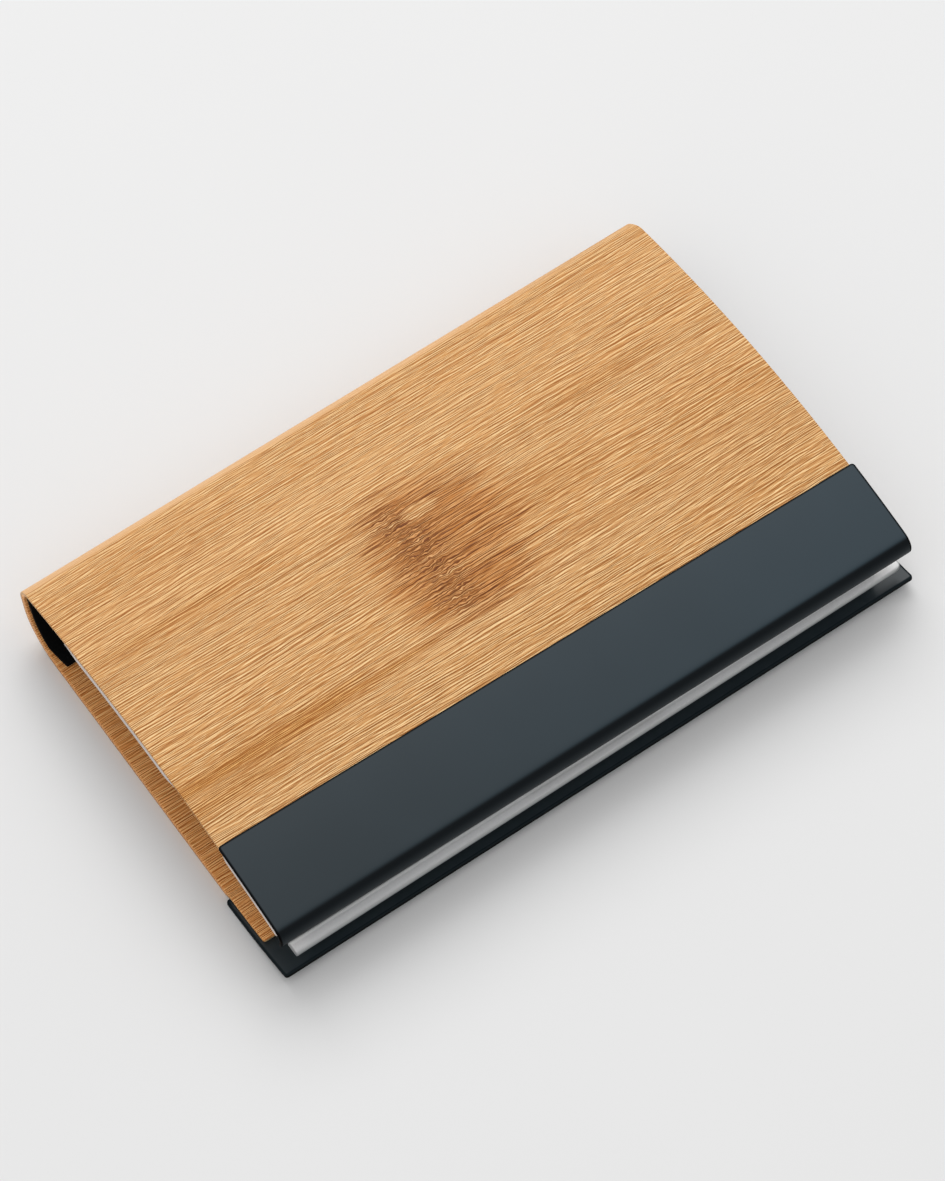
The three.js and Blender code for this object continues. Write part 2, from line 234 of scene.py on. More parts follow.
# %% A sheet between two curves
def sheet_parts(outer, inner, half, edge=0.12, corners=(0, 0, 0, 0), seams=(False, False),
                columns=60, step=1.0, skew=0.0, start_length=0.0, along=None, taper=0.0):
    """Points, faces, unrolled places and rim values of a sheet between two matching curves. A point is the
    outer curve at its station plus a share of the way to the inner one.
    corners: radii at (start left, start right, end left, end right). seams: ends that join a neighbour.
    taper: how much narrower the sheet is on each side at its start. skew: how far the right end of its
    start is moved along it."""
    s_all = lengths(outer)
    total = s_all[-1]
    stations = stations_along(total, max(max(corners), edge), step, along)
    across = np.linspace(-1, 1, columns + 1)
    rings = edge_rings(edge)
    rows, cols = len(stations), columns + 1
    grid = np.arange(rows * cols).reshape(rows, cols)
    rim = np.r_[grid[0, :], grid[1:, -1], grid[-1, -2::-1], grid[-2:0:-1, 0]]
    points, faces, flats, rims, loops = [], [], [], [], []
    count = 0
    for number, (inset, depth, side) in enumerate(rings):
        first = 0 if seams[0] else inset
        last = 0 if seams[1] else inset
        s = first + stations * (total - first - last) / total
        left, right = side_ends(s, total, half, corners, inset, taper)
        x = left[:, None] + (right - left)[:, None] * (across[None, :] + 1) / 2
        lean = skew * (x - half[0]) / (half[1] - half[0]) * (1 - s[:, None] / total)
        place = np.broadcast_to(s[:, None], x.shape) + lean
        o = [np.interp(place, s_all, outer[:, k]) for k in (0, 1)]
        i = [np.interp(place, s_all, inner[:, k]) for k in (0, 1)]
        thick = np.hypot(i[0] - o[0], i[1] - o[1])
        share = depth / thick if side == 0 else 1 - depth / thick
        y = o[0] + (i[0] - o[0]) * share
        z = o[1] + (i[1] - o[1]) * share
        all_points = np.stack([x, y, z], -1).reshape(-1, 3)
        all_flat = np.stack([x, start_length + place, thick * share], -1).reshape(-1, 3)
        whole = number in (0, len(rings) - 1)
        chosen = np.arange(rows * cols) if whole else rim
        points.append(all_points[chosen])
        flats.append(all_flat[chosen])
        rims.append(np.full(len(chosen), 1.0 if inset <= edge else 0.0))
        if whole:
            loops.append(rim + count)
            a, b = grid[:-1, :-1].ravel(), grid[:-1, 1:].ravel()
            c, d = grid[1:, 1:].ravel(), grid[1:, :-1].ravel()
            quads = np.stack([a, b, c, d], -1) + count
            faces += (quads if number else quads[:, ::-1]).tolist()
        else:
            loops.append(np.arange(len(rim)) + count)
        count += len(chosen)
    for upper, lower in zip(loops[:-1], loops[1:]):
        faces += np.stack([np.roll(upper, -1), upper, lower, np.roll(lower, -1)], -1)[:, ::-1].tolist()
    return np.vstack(points), faces, np.vstack(flats), np.concatenate(rims)


def sheets(name, *parts):
    """An object from several sheets, each given as points, faces, unrolled places and rim values."""
    flats = np.vstack([part[2] for part in parts])
    return write_mesh(name, [part[:2] for part in parts], flats, np.concatenate([part[3] for part in parts]))


def askew(part, slope, out=0.0, share=1.0):
    """A part turned about the arch's centre, towards the spine, by share times (out + slope times X)."""
    points, *rest = part
    angle = -share * (out + slope * points[:, 0]) / ARCH_RADIUS
    y, z = points[:, 1] - ARCH_CENTRE[0], points[:, 2] - ARCH_CENTRE[1]
    turned_y = y * np.cos(angle) - z * np.sin(angle) + ARCH_CENTRE[0]
    turned_z = y * np.sin(angle) + z * np.cos(angle) + ARCH_CENTRE[1]
    return np.column_stack([points[:, 0], turned_y, turned_z]), *rest


# %% [markdown]
# ## Ring solids
# The pressed tray and the magnets are blocks with rounded corners. A cube with a Bevel modifier would do for
# a magnet, but a tray has a bent lower edge, a rolled rim and a hollow. A stack of rounded rectangles, each
# at its own height and inset, gives both, and its faces look outward from the first ring to the last.

# %% Rounded rectangles in a stack
def outline(left, right, low, high, radii, inset, front_x=()):
    """A rounded rectangle in X and Y, counter-clockwise from its lower left corner, moved in by inset.
    front_x adds points on its front side."""
    places = [
        (left, low, 1, 1, 180),
        (right, low, -1, 1, 270),
        (right, high, -1, -1, 0),
        (left, high, 1, -1, 90),
    ]
    points = []
    for (x, y, to_x, to_y, turn), radius in zip(places, radii):
        reach = max(radius - inset, 0.03)
        a = np.radians(np.linspace(turn, turn + 90, 9))
        cx = x + to_x * (inset + reach)
        cy = y + to_y * (inset + reach)
        points.append(np.column_stack([cx + reach * np.cos(a), cy + reach * np.sin(a)]))
        if turn == 180 and len(front_x):
            points.append(np.column_stack([front_x, np.full(len(front_x), low + inset)]))
    return np.vstack(points)


def ring_parts(left, right, low, high, radii, rings, front_x=()):
    """Points and faces of a stack of outlines. rings lists (inset, height) from one cap to the other."""
    loops = [outline(left, right, low, high, radii, inset, front_x) for inset, height in rings]
    count = len(loops[0])
    points = np.vstack([np.column_stack([loop, np.full(count, height)])
                        for loop, (inset, height) in zip(loops, rings)])
    faces = [list(range(count))[::-1]]
    for k in range(len(rings) - 1):
        a = np.arange(count) + k * count
        b = np.roll(a, -1)
        faces += np.stack([a, b, b + count, a + count], -1).tolist()
    faces.append([(len(rings) - 1) * count + i for i in range(count)])
    return points, faces


def block_rings(low, high, edge):
    """Rings of a block with upper and lower edges rounded by edge."""
    quarter = np.linspace(0, np.pi / 2, 4)
    below = [(edge * (1 - math.sin(q)), low + edge * (1 - math.cos(q))) for q in quarter]
    above = [(edge * (1 - math.cos(q)), high - edge * (1 - math.sin(q))) for q in quarter]
    return [(edge + 0.1, low)] + below + above + [(edge + 0.1, high)]


# %% [markdown]
# ## The wrap's outer curve
# On the real case one sheet of bamboo runs from the opening edge, under the case, up the spine and over the
# cover. Its outer face is one curve here, and the liner and the steel plate are layers of it. It is cut in
# the middle of the spine's wall, so that each half holds one fold only.
# Near the opening edge the back cover sweeps up a little, over the back band.

# %% The section of the wrap
BACK_FRONT = -HALF_DEPTH + 5.9
SWEEP_Y = -HALF_DEPTH + 13.8
SWEEP_RADIUS = 55.0
BAND_SHEET = 0.7
FACE_SWEEP = 64.0
NOSE_RADIUS = 2.1
NOSE_Y = -HALF_DEPTH + 1.1 + NOSE_RADIUS
SEAM_SHARE = 0.58


def wall_point(offset_in, rise):
    """A point on the leaning wall: a depth inside its face, and a rise above the lower bend's end."""
    reach = BEND_RADIUS - offset_in
    y = BEND[0] + reach * math.cos(LEAN) + rise * math.sin(LEAN)
    z = BEND[1] - reach * math.sin(LEAN) + rise * math.cos(LEAN)
    return y, z


def back_curves():
    """The back cover's under face and upper face, as matching curves from its front edge to the bend. Each
    sweep is its radius less the root of radius squared less the distance squared."""
    rebate = SWEEP_Y + 0.3
    front = np.r_[np.linspace(BACK_FRONT, rebate, 20), rebate + 0.001]
    y = np.unique(np.r_[front, np.linspace(rebate + 0.3, BEND[0], 60)])
    under_radius = SWEEP_RADIUS - BAND_SHEET - GLUE
    swept = SWEEP_RADIUS - np.sqrt(under_radius ** 2 - np.minimum(y - SWEEP_Y, 0) ** 2)
    under = np.where(y <= rebate, swept, 0.0)
    face_start = SWEEP_Y + 2
    face = BACK_VENEER + FACE_SWEEP - np.sqrt(FACE_SWEEP ** 2 - np.minimum(y - face_start, 0) ** 2)
    return np.column_stack([y, under]), np.column_stack([y, face])


corner_start = (CORNER[0] + CORNER_RADIUS * math.cos(LEAN), CORNER[1] - CORNER_RADIUS * math.sin(LEAN))
wall_start = wall_point(0, 0)
seam = tuple(np.array(wall_start) * (1 - SEAM_SHARE) + np.array(corner_start) * SEAM_SHARE)
arch_seam = math.degrees(math.atan2(CORNER[1] - ARCH_CENTRE[1], CORNER[0] - ARCH_CENTRE[0]))
bamboo_front = arch_angle(NOSE_Y + 0.4, ARCH_RADIUS)
upper_curve = resample(chain(
    line(seam, corner_start, 20),
    arc(CORNER, CORNER_RADIUS, -SPINE_LEAN, arch_seam, 60),
    arc(ARCH_CENTRE, ARCH_RADIUS, arch_seam, bamboo_front, 200),
), 0.15)
bend_curve = resample(chain(
    arc(BEND, BEND_RADIUS, -90, -SPINE_LEAN, 60),
    line(wall_start, seam, 20),
), 0.15)
print("seam of the two halves:", np.round(seam, 2))

# %% [markdown]
# ## Bamboo wrap
# The wrap is one thin sheet of bamboo, grain along X. It could be one mesh, but a mesh can bend across only
# one joint, so it is two halves that meet in the spine's wall: the back cover with the lower part of the
# spine, and the rest of the spine with the front cover. The sheet thins a little towards the front cover.

# %% Lower half: back cover and lower spine
COVER_CORNER = 0.35


def askew_by_height(part):
    """The spine's slant on a part of the lower half, from nothing on the table to all of it at the seam."""
    return askew(part, ASKEW, SPINE_OUT, eased(part[0][:, 2], 2.2, seam[1] - 0.6, 0, 1))


under_face, upper_face = back_curves()
bend_lengths = lengths(bend_curve)
bend_depth = eased(bend_lengths, bend_lengths[-1] - 2.2, bend_lengths[-1] - 1.0, BACK_VENEER, SPINE_VENEER)
lower_outer = np.vstack([under_face[:-1], bend_curve])
lower_inner = np.vstack([upper_face[:-1], offset(bend_curve, bend_depth)])
lower_total = lengths(lower_outer)[-1]
flat_length = lengths(under_face)[-1]
lower_stations = np.r_[
    np.linspace(1.3, flat_length - 1, 46),
    flat_length + np.linspace(0, bend_lengths[-1] - 0.3, 40),
]
wrap_lower = sheets("bamboo_wrap_lower", askew_by_height(sheet_parts(
    lower_outer, lower_inner, (-HALF_LENGTH, HALF_LENGTH), edge=0.1,
    corners=(COVER_CORNER, COVER_CORNER, 0, 0), seams=(False, True), columns=80, along=lower_stations,
)))
print("lower half of the wrap:", len(wrap_lower.data.polygons), "faces")

# %% Upper half: upper spine and front cover
CORNER_RUB = 0.5


def askew_by_depth(part):
    """The spine's slant on a part of the upper half, from nothing on the middle of the cover to all of it."""
    return askew(part, ASKEW, SPINE_OUT, eased(part[0][:, 1], 2.0, 27.0, 0, 1))


def rubbed_corner(part):
    """The upper half with its right end drawn in by CORNER_RUB about the top of the fold."""
    points, faces, flats, rims = part
    along = flats[:, 1] - lower_total
    share = eased(along, 0.8, 2.8, 0, 1) * eased(along, 5.6, 3.2, 0, 1)
    points[:, 0] -= np.where(points[:, 0] > HALF_LENGTH - 0.4, CORNER_RUB * share, 0)
    return points, faces, flats, rims


upper_lengths = lengths(upper_curve)
upper_depth = eased(upper_lengths, 1.0, 5.0, SPINE_VENEER, FRONT_VENEER)
upper_stations = np.r_[np.linspace(0.3, 5.5, 36), np.linspace(6.5, upper_lengths[-1] - 0.6, 56)]
wrap_upper = sheets("bamboo_wrap_upper", askew_by_depth(rubbed_corner(sheet_parts(
    upper_curve, offset(upper_curve, upper_depth), (-HALF_LENGTH, HALF_LENGTH), edge=0.1,
    seams=(True, False), columns=80, along=upper_stations, start_length=lower_total,
))))
print("upper half of the wrap:", len(wrap_upper.data.polygons), "faces")
print("flat sheet:", 2 * HALF_LENGTH, "x", round(float(lower_total + upper_lengths[-1]), 1), "mm")

# %% [markdown]
# ## Black liner
# A strip of coated cloth covers the inside of the spine, from the flat of the back cover to the steel plate,
# and its end tucks under the plate. Cloth that lies on a shape needs no cloth simulation: it is the next
# layer of the same curve. It is cut at the same place as the bamboo, and its foot on the back cover narrows.

# %% The liner in two halves
PLATE = 1.1
LINER = 0.5
LINER_INSET = 0.35
LINER_FOOT_TAPER = 0.55
LINER_FOOT_ANGLE = 20
liner_half = (-HALF_LENGTH + LINER_INSET, HALF_LENGTH - LINER_INSET)
liner_low_outer = offset(bend_curve, bend_depth + GLUE)
liner_low_inner = offset(bend_curve, bend_depth + GLUE + LINER)
flat_part = line((BEND[0] - 1.5, BACK_VENEER + GLUE), liner_low_outer[0], 8)[:-1]
foot_end = int(np.searchsorted(bend_lengths, BEND_RADIUS * math.radians(LINER_FOOT_ANGLE)))
liner_lower = sheets(
    "spine_liner_lower",
    askew_by_height(sheet_parts(
        np.vstack([flat_part, liner_low_outer[:foot_end + 1]]),
        np.vstack([flat_part + [0, LINER], liner_low_inner[:foot_end + 1]]), liner_half,
        edge=0.08, seams=(False, True), columns=60, step=0.35, taper=LINER_FOOT_TAPER,
    )),
    askew_by_height(sheet_parts(
        liner_low_outer[foot_end:], liner_low_inner[foot_end:], liner_half,
        edge=0.08, seams=(True, True), columns=60, step=0.35,
    )),
)
liner_end = HALF_DEPTH - 14.4
reach = int(np.flatnonzero(upper_curve[:, 0] <= liner_end)[0])
tuck = eased(upper_lengths[:reach], upper_lengths[reach] - 3.6, upper_lengths[reach] - 0.1, 0, PLATE + GLUE)
liner_upper = sheets("spine_liner_upper", askew_by_depth(sheet_parts(
    offset(upper_curve[:reach], upper_depth[:reach] + GLUE + tuck),
    offset(upper_curve[:reach], upper_depth[:reach] + GLUE + LINER + tuck), liner_half,
    edge=0.08, seams=(True, False), columns=60, step=0.35,
)))
print("liner:", len(liner_lower.data.polygons), "+", len(liner_upper.data.polygons), "faces")

# %% [markdown]
# ## Steel plate and felt under the front cover
# The plate stiffens the cover, and its ends show as a bright line under the bamboo. The felt under it keeps
# the cards from its steel. Both are arcs about the arch's centre. The plate's rear edge is thinned, where the
# liner's end lies under it, and a part of its left end lies further in, where the photograph hides it.

# %% The plate
PLATE_HIDDEN = 0.38
plate_outer = ARCH_RADIUS - FRONT_VENEER - GLUE
plate_start = arch_angle(liner_end + 3.5, plate_outer)
plate_end = arch_angle(NOSE_Y - 0.9, plate_outer)
plate_curve = arc(ARCH_CENTRE, plate_outer, plate_start, plate_end, 240)
plate_depth = eased(lengths(plate_curve), 0, 3.5, 0.28, PLATE)


def drawn_under(part):
    """The plate with its left edge PLATE_HIDDEN further in between Y -3 and -17."""
    points, *rest = part
    share = eased(points[:, 1], -3.0, -6.5, 0, 1) * eased(points[:, 1], -17.0, -15.2, 0, 1)
    at_edge = points[:, 0] < -HALF_LENGTH + 0.4
    points[:, 0] += np.where(at_edge, PLATE_HIDDEN * share, 0)
    return points, *rest


front_plate = sheets("front_plate_steel", drawn_under(askew_by_depth(sheet_parts(
    plate_curve, offset(plate_curve, plate_depth),
    (-HALF_LENGTH, HALF_LENGTH), edge=0.12, corners=(0, 0, 0.5, 0.5), columns=40, step=0.8,
))))
print("plate:", len(front_plate.data.polygons), "faces")

# %% The felt
LINING = 0.5
CARRIER_FRONT = -HALF_DEPTH + 2.95 + 0.4
CARRIER_WIDTH = 3.8
lining_outer = plate_outer - PLATE - GLUE
lining_start = arch_angle(liner_end - 0.3, lining_outer)
lining_end = arch_angle(CARRIER_FRONT + CARRIER_WIDTH + 0.3, lining_outer)
lining_half = HALF_LENGTH - 3.2
cover_lining = sheets("cover_felt", askew_by_depth(sheet_parts(
    arc(ARCH_CENTRE, lining_outer, lining_start, lining_end, 120),
    arc(ARCH_CENTRE, lining_outer - LINING, lining_start, lining_end, 120),
    (-lining_half, lining_half), edge=0.15, corners=(1, 1, 1, 1), columns=40, step=1.0,
)))
print("felt:", len(cover_lining.data.polygons), "faces")

# %% [markdown]
# ## Lacquered bands
# Both bands are bent from sheet steel and lacquered. The front band follows the arch, curls down round a
# small nose and ends in a lip. The back band is a shallow tongue under the back cover. Both are sheets, so
# that the cut edges, where a painted shade line darkens the lacquer, carry their own rim value. Towards the
# right the front band runs forward a little, and its rear edge more than its nose.

# %% The front band
FRONT_BAND_SHEET = 0.45
BAND_RADIUS = ARCH_RADIUS + GLUE + FRONT_BAND_SHEET
BAND_CORNER = 0.5
BAND_REAR = -HALF_DEPTH + 15.05
BAND_SKEW = 0.95
BAND_SLANT = -0.0032
NOSE = (NOSE_Y, touching(NOSE_Y, BAND_RADIUS, NOSE_RADIUS))
LIP_ANGLE = 225
nose_seam = math.degrees(math.atan2(NOSE[1] - ARCH_CENTRE[1], NOSE[0] - ARCH_CENTRE[0]))
band_start = arch_angle(BAND_REAR, BAND_RADIUS)
band_outer = resample(chain(
    arc(ARCH_CENTRE, BAND_RADIUS, band_start, nose_seam, 80),
    arc(NOSE, NOSE_RADIUS, nose_seam, LIP_ANGLE, 60),
), 0.1)
CURL_START = float(lengths(band_outer)[np.argmin(np.abs(band_outer[:, 0] - NOSE_Y))])
band_half = (-HALF_LENGTH - 0.2, HALF_LENGTH + 0.42)
front_band = sheets("front_band_lacquer", askew(sheet_parts(
    band_outer, offset(band_outer, FRONT_BAND_SHEET), band_half, edge=0.17,
    corners=(BAND_CORNER,) * 4, columns=60, step=0.4, skew=BAND_SKEW,
), BAND_SLANT))
print("front band:", round(float(lengths(band_outer)[-1]), 1), "mm of sheet from its rear edge to its lip")

# %% The back band
sweep_end = 270 - math.degrees(math.asin(13.8 / SWEEP_RADIUS))
tongue_half = (-HALF_LENGTH - 0.6, HALF_LENGTH + 0.92)
tongue_centre = (SWEEP_Y, SWEEP_RADIUS)
tongue_outer = arc(tongue_centre, SWEEP_RADIUS, sweep_end, 270, 80)
tongue_inner = arc(tongue_centre, SWEEP_RADIUS - BAND_SHEET, sweep_end, 270, 80)
back_band = sheets("back_band_lacquer", sheet_parts(
    tongue_outer, tongue_inner, tongue_half, edge=0.2,
    corners=(BAND_CORNER,) * 4, columns=60, step=0.5, skew=0.25,
))
print("back band:", round(float(lengths(tongue_outer)[-1]), 1), "mm deep")

# %% [markdown]
# ## Card tray
# The tray is pressed from one sheet of steel: a floor, four walls with bent lower edges, a strike flange on
# the front wall for the magnets, and a thumb notch in that wall to push the cards out. A boolean could cut
# the notch, but it would leave ragged faces. Here the points of the front wall are held down to the notch's
# outline instead, which keeps every face a clean four-sided one.

# %% Tray and strike flange
TRAY_FRONT = -HALF_DEPTH + 2.95
TRAY_REAR = BEND[0] + 1.5
TRAY_HALF = HALF_LENGTH - 3.1
TRAY_FLOOR = 2.15
TRAY_SHEET = 0.5
TRAY_BEND = 1.5
TRAY_RIM = 0.12
MAGNET_GAP = 0.3
CARRIER_HEIGHT = 1.45
carrier_bottom = on_arch(CARRIER_FRONT, lining_outer) - CARRIER_HEIGHT
TRAY_TOP = carrier_bottom - MAGNET_GAP
RAIL_TOP = 4.6
NOTCH_HALF = 11.0
NOTCH_CORNER = 1.6
NOTCH_LOW = RAIL_TOP + TRAY_SHEET
STRIKE_WIDTH = 2.6


def bend_rings(inset_end, height_end, radius, rising):
    """Rings of a bent lower edge, from the floor out to the wall, or back again for the inner face."""
    q = np.linspace(0, np.pi / 2, 6)
    rings = [(inset_end + radius * (1 - math.sin(a)), height_end + radius * (1 - math.cos(a))) for a in q]
    return rings if rising else rings[::-1]


def tray_rings():
    """Rings up the outer face of the walls, over their rounded rim and down the inner face."""
    rings = bend_rings(0, TRAY_FLOOR, TRAY_BEND, True)
    rings += [(0, TRAY_TOP - TRAY_RIM), (0.3 * TRAY_RIM, TRAY_TOP - 0.3 * TRAY_RIM), (TRAY_RIM, TRAY_TOP)]
    rings += [(TRAY_SHEET - TRAY_RIM, TRAY_TOP), (TRAY_SHEET - 0.3 * TRAY_RIM, TRAY_TOP - 0.3 * TRAY_RIM)]
    rings += [(TRAY_SHEET, TRAY_TOP - TRAY_RIM)]
    return rings + bend_rings(TRAY_SHEET, TRAY_FLOOR + TRAY_SHEET, TRAY_BEND - TRAY_SHEET, False)


def tray_parts():
    """The tray's walls and floor, with the front wall held down to the notch's outline."""
    turn = np.linspace(0, np.pi / 2, 7)
    edge_x = NOTCH_HALF - NOTCH_CORNER + NOTCH_CORNER * np.sin(turn)
    edge_z = NOTCH_LOW + NOTCH_CORNER - NOTCH_CORNER * np.cos(turn)
    x = np.r_[-NOTCH_HALF - 0.02, -edge_x[::-1], edge_x, NOTCH_HALF + 0.02]
    points, faces = ring_parts(-TRAY_HALF, TRAY_HALF, TRAY_FRONT, TRAY_REAR, (1.2,) * 4, tray_rings(), x)
    limit = np.interp(np.abs(points[:, 0]), np.r_[0, edge_x, NOTCH_HALF + 0.01], np.r_[NOTCH_LOW, edge_z, 99])
    front = points[:, 1] < TRAY_FRONT + TRAY_SHEET + 0.01
    points[:, 2] = np.where(front, np.minimum(points[:, 2], limit), points[:, 2])
    return points, faces


def strike_parts(left, right):
    """One of the two lengths of the strike flange, bent in from the front wall's upper edge."""
    rings = block_rings(TRAY_TOP - TRAY_SHEET, TRAY_TOP, 0.1)
    low, high = TRAY_FRONT + 0.25, TRAY_FRONT + TRAY_SHEET + STRIKE_WIDTH
    return ring_parts(left, right, low, high, (0.1, 0.1, 0.8, 0.8), rings)


card_tray = write_mesh("card_tray_steel", [
    tray_parts(),
    strike_parts(-TRAY_HALF + 0.3, -NOTCH_HALF),
    strike_parts(NOTCH_HALF, TRAY_HALF - 0.3),
])
print("tray top at", round(TRAY_TOP, 2), "mm")

# %% [markdown]
# ## Front rail
# The rail is a strip of blasted steel on the tray's front wall, the bright line between the two bands. It is
# a sheet with a rounded front edge and a shallow groove along its rear. Its front edge tapers back towards
# its right end, which is rounded, while the left end is square.

# %% The rail
RAIL_FRONT = -HALF_DEPTH + 0.85
RAIL_LEFT = -HALF_LENGTH + 1.7
RAIL_RIGHT = HALF_LENGTH - 0.3
RAIL_LOW = RAIL_TOP - 0.6
RAIL_ROUND = 0.5
RAIL_TAPER = (0.15, 0.7)
RAIL_GROOVE = [(0.0, 0.02), (0.3, 0.02), (0.5, 0.07), (0.75, 0.0)]


def tapered(part):
    """The rail's front edge moved back, a little at its left end and more at its right one."""
    points, *rest = part
    along = (points[:, 0] - RAIL_LEFT) / (RAIL_RIGHT - RAIL_LEFT)
    forward = (TRAY_FRONT - points[:, 1]) / (TRAY_FRONT - RAIL_FRONT)
    points[:, 1] += forward * (RAIL_TAPER[0] + (RAIL_TAPER[1] - RAIL_TAPER[0]) * along)
    return points, *rest


groove = [(TRAY_FRONT - run, RAIL_TOP - drop) for run, drop in RAIL_GROOVE]
rail_centre = (RAIL_FRONT + RAIL_ROUND, RAIL_TOP - RAIL_ROUND)
rail_upper = resample(chain(
    *(line(start, end, 6) for start, end in zip(groove[:-1], groove[1:])),
    arc(rail_centre, RAIL_ROUND, 90, 175, 16),
), 0.04)
rail_lower = np.column_stack([rail_upper[:, 0], np.full(len(rail_upper), RAIL_LOW)])
rail_length = float(lengths(rail_upper)[-1])
front_rail = sheets("front_rail_steel", tapered(sheet_parts(
    rail_upper, rail_lower, (RAIL_LEFT, RAIL_RIGHT), edge=0.04, corners=(0.05, 0.05, 0.3, 1.3),
    columns=60, step=0.06,
)))
print("rail:", round(RAIL_RIGHT - RAIL_LEFT, 1), "mm long,", round(TRAY_FRONT - RAIL_FRONT, 1), "mm wide")

# %% [markdown]
# ## Magnets
# Two plated bars in the cover's edge hold it to the strike flange. Only their lower faces show, and only
# when the cover is open, so each is a plain ring solid.

# %% Two magnets
CARRIER_LENGTH = 2 * HALF_LENGTH - 11
MAGNET_X = 0.34 * CARRIER_LENGTH
MAGNET_Y = CARRIER_FRONT + CARRIER_WIDTH / 2
MAGNET_HALF = (10.0, 1.4)
MAGNET_HEIGHT = 0.95
magnets = []
for side, name in ((-1, "magnet_bar_left"), (1, "magnet_bar_right")):
    rings = block_rings(carrier_bottom, carrier_bottom + MAGNET_HEIGHT, 0.15)
    x = side * MAGNET_X
    part = ring_parts(x - MAGNET_HALF[0], x + MAGNET_HALF[0], MAGNET_Y - MAGNET_HALF[1],
                      MAGNET_Y + MAGNET_HALF[1], (0.4,) * 4, rings)
    magnets.append(write_mesh(name, [part]))
print("magnets at X", round(-MAGNET_X, 1), "and", round(MAGNET_X, 1), "mm")

# %% [markdown]
# ## Colours and node helpers
# Blender's shaders work in linear light, while a colour given as hex is sRGB. So colours are written as sRGB
# hex and turned linear by one function. Another adds a node with its settings and links. The rest are names
# for sums that every material here uses.

# %% Helpers for materials
def rgb(code):
    """sRGB hex to linear: c / 12.92 below 0.04045, else ((c + 0.055) / 1.055) to the power 2.4."""
    values = [int(code[i:i + 2], 16) / 255 for i in (1, 3, 5)]
    linear = [v / 12.92 if v <= 0.04045 else ((v + 0.055) / 1.055) ** 2.4 for v in values]
    return (*linear, 1.0)


def material(name):
    """A new node material with its principled shader."""
    made = bpy.data.materials.new(name)
    made.use_nodes = True
    return made, made.node_tree, made.node_tree.nodes["Principled BSDF"]


def node(tree, kind, inputs=None, **settings):
    """Adds a node, sets its properties, and sets or links its inputs by name or number."""
    made = tree.nodes.new(kind)
    for key, value in settings.items():
        setattr(made, key, value)
    for key, value in (inputs or {}).items():
        socket = made.inputs[key]
        if isinstance(value, bpy.types.NodeSocket):
            tree.links.new(value, socket)
        else:
            socket.default_value = value
    return made


def maths(tree, operation, a, b=0.0, c=0.0):
    """One maths node's result."""
    return node(tree, "ShaderNodeMath", {0: a, 1: b, 2: c}, operation=operation).outputs[0]


def mix(tree, share, a, b):
    """Two colours mixed by a share."""
    made = node(tree, "ShaderNodeMix", data_type="RGBA")
    for number, value in ((0, share), (6, a), (7, b)):
        if isinstance(value, bpy.types.NodeSocket):
            tree.links.new(value, made.inputs[number])
        else:
            made.inputs[number].default_value = value
    return made.outputs[2]


def ramp(tree, value, low, high, out_low=0.0, out_high=1.0):
    """A value's range low to high turned smoothly into another range."""
    made = node(tree, "ShaderNodeMapRange", {0: value, 1: low, 2: high, 3: out_low, 4: out_high})
    made.interpolation_type = "SMOOTHSTEP"
    return made.outputs[0]


def stretched(tree, vector, lengths_mm, seed=0.0, detail=2.0, roughness=0.5):
    """Noise whose features are about lengths_mm long along each axis of a vector in millimetres."""
    scale = [1 / v for v in lengths_mm]
    scaled = node(tree, "ShaderNodeVectorMath", {0: vector, 1: scale}, operation="MULTIPLY").outputs[0]
    place = (seed, 2 * seed, 3 * seed)
    moved = node(tree, "ShaderNodeVectorMath", {0: scaled, 1: place}, operation="ADD").outputs[0]
    made = node(tree, "ShaderNodeTexNoise", {"Vector": moved, "Scale": 1.0, "Detail": detail,
                                             "Roughness": roughness})
    return made.outputs["Fac"]


def swing(tree, noise, size):
    """Noise about zero: size times (noise less a half)."""
    return maths(tree, "MULTIPLY", maths(tree, "SUBTRACT", noise, 0.5), size)


def object_mm(tree):
    """Object coordinates in millimetres."""
    place = node(tree, "ShaderNodeTexCoord").outputs["Object"]
    return node(tree, "ShaderNodeVectorMath", {0: place, "Scale": 1000.0}, operation="SCALE").outputs[0]


def bumped(tree, shader, height, strength, distance_mm):
    """The shader's normal tilted by a height pattern."""
    made = node(tree, "ShaderNodeBump", {"Height": height, "Strength": strength, "Distance": distance_mm * MM})
    tree.links.new(made.outputs[0], shader.inputs["Normal"])


# %% [markdown]
# ## Places on the bamboo
# Real bamboo shows long fibres, broader strips where it was glued up, and a brown node now and then. A
# picture of veneer would repeat and stretch, so the pattern is computed. It reads each point's place on the
# unrolled sheet: x along the grain and s across it, round the folds. These helpers find places on it.

# %% Distances on the unrolled sheet
FOLD_START = lower_total + float(upper_lengths[np.argmin(np.abs(upper_curve[:, 1] - corner_start[1]))])


def place_on_sheet(y):
    """Length along the wrap's outer curve to the place y on the front cover."""
    index = int(np.argmin(np.abs(upper_curve[:, 0] - y) + 100 * (upper_lengths < 6)))
    return lower_total + float(upper_lengths[index])


def spot(tree, x, s, centre, half):
    """How far a point lies from a place on the sheet: (dx / half width) squared plus (ds / half depth)
    squared. It is 0 in the middle and 1 on the rim. centre is given as X and Y of the closed case."""
    dx = maths(tree, "ABSOLUTE", maths(tree, "DIVIDE", maths(tree, "SUBTRACT", x, centre[0]), half[0]))
    ds = maths(tree, "SUBTRACT", s, place_on_sheet(centre[1]))
    ds = maths(tree, "ABSOLUTE", maths(tree, "DIVIDE", ds, half[1]))
    return maths(tree, "ADD", maths(tree, "POWER", dx, 2.0), maths(tree, "POWER", ds, 2.0))


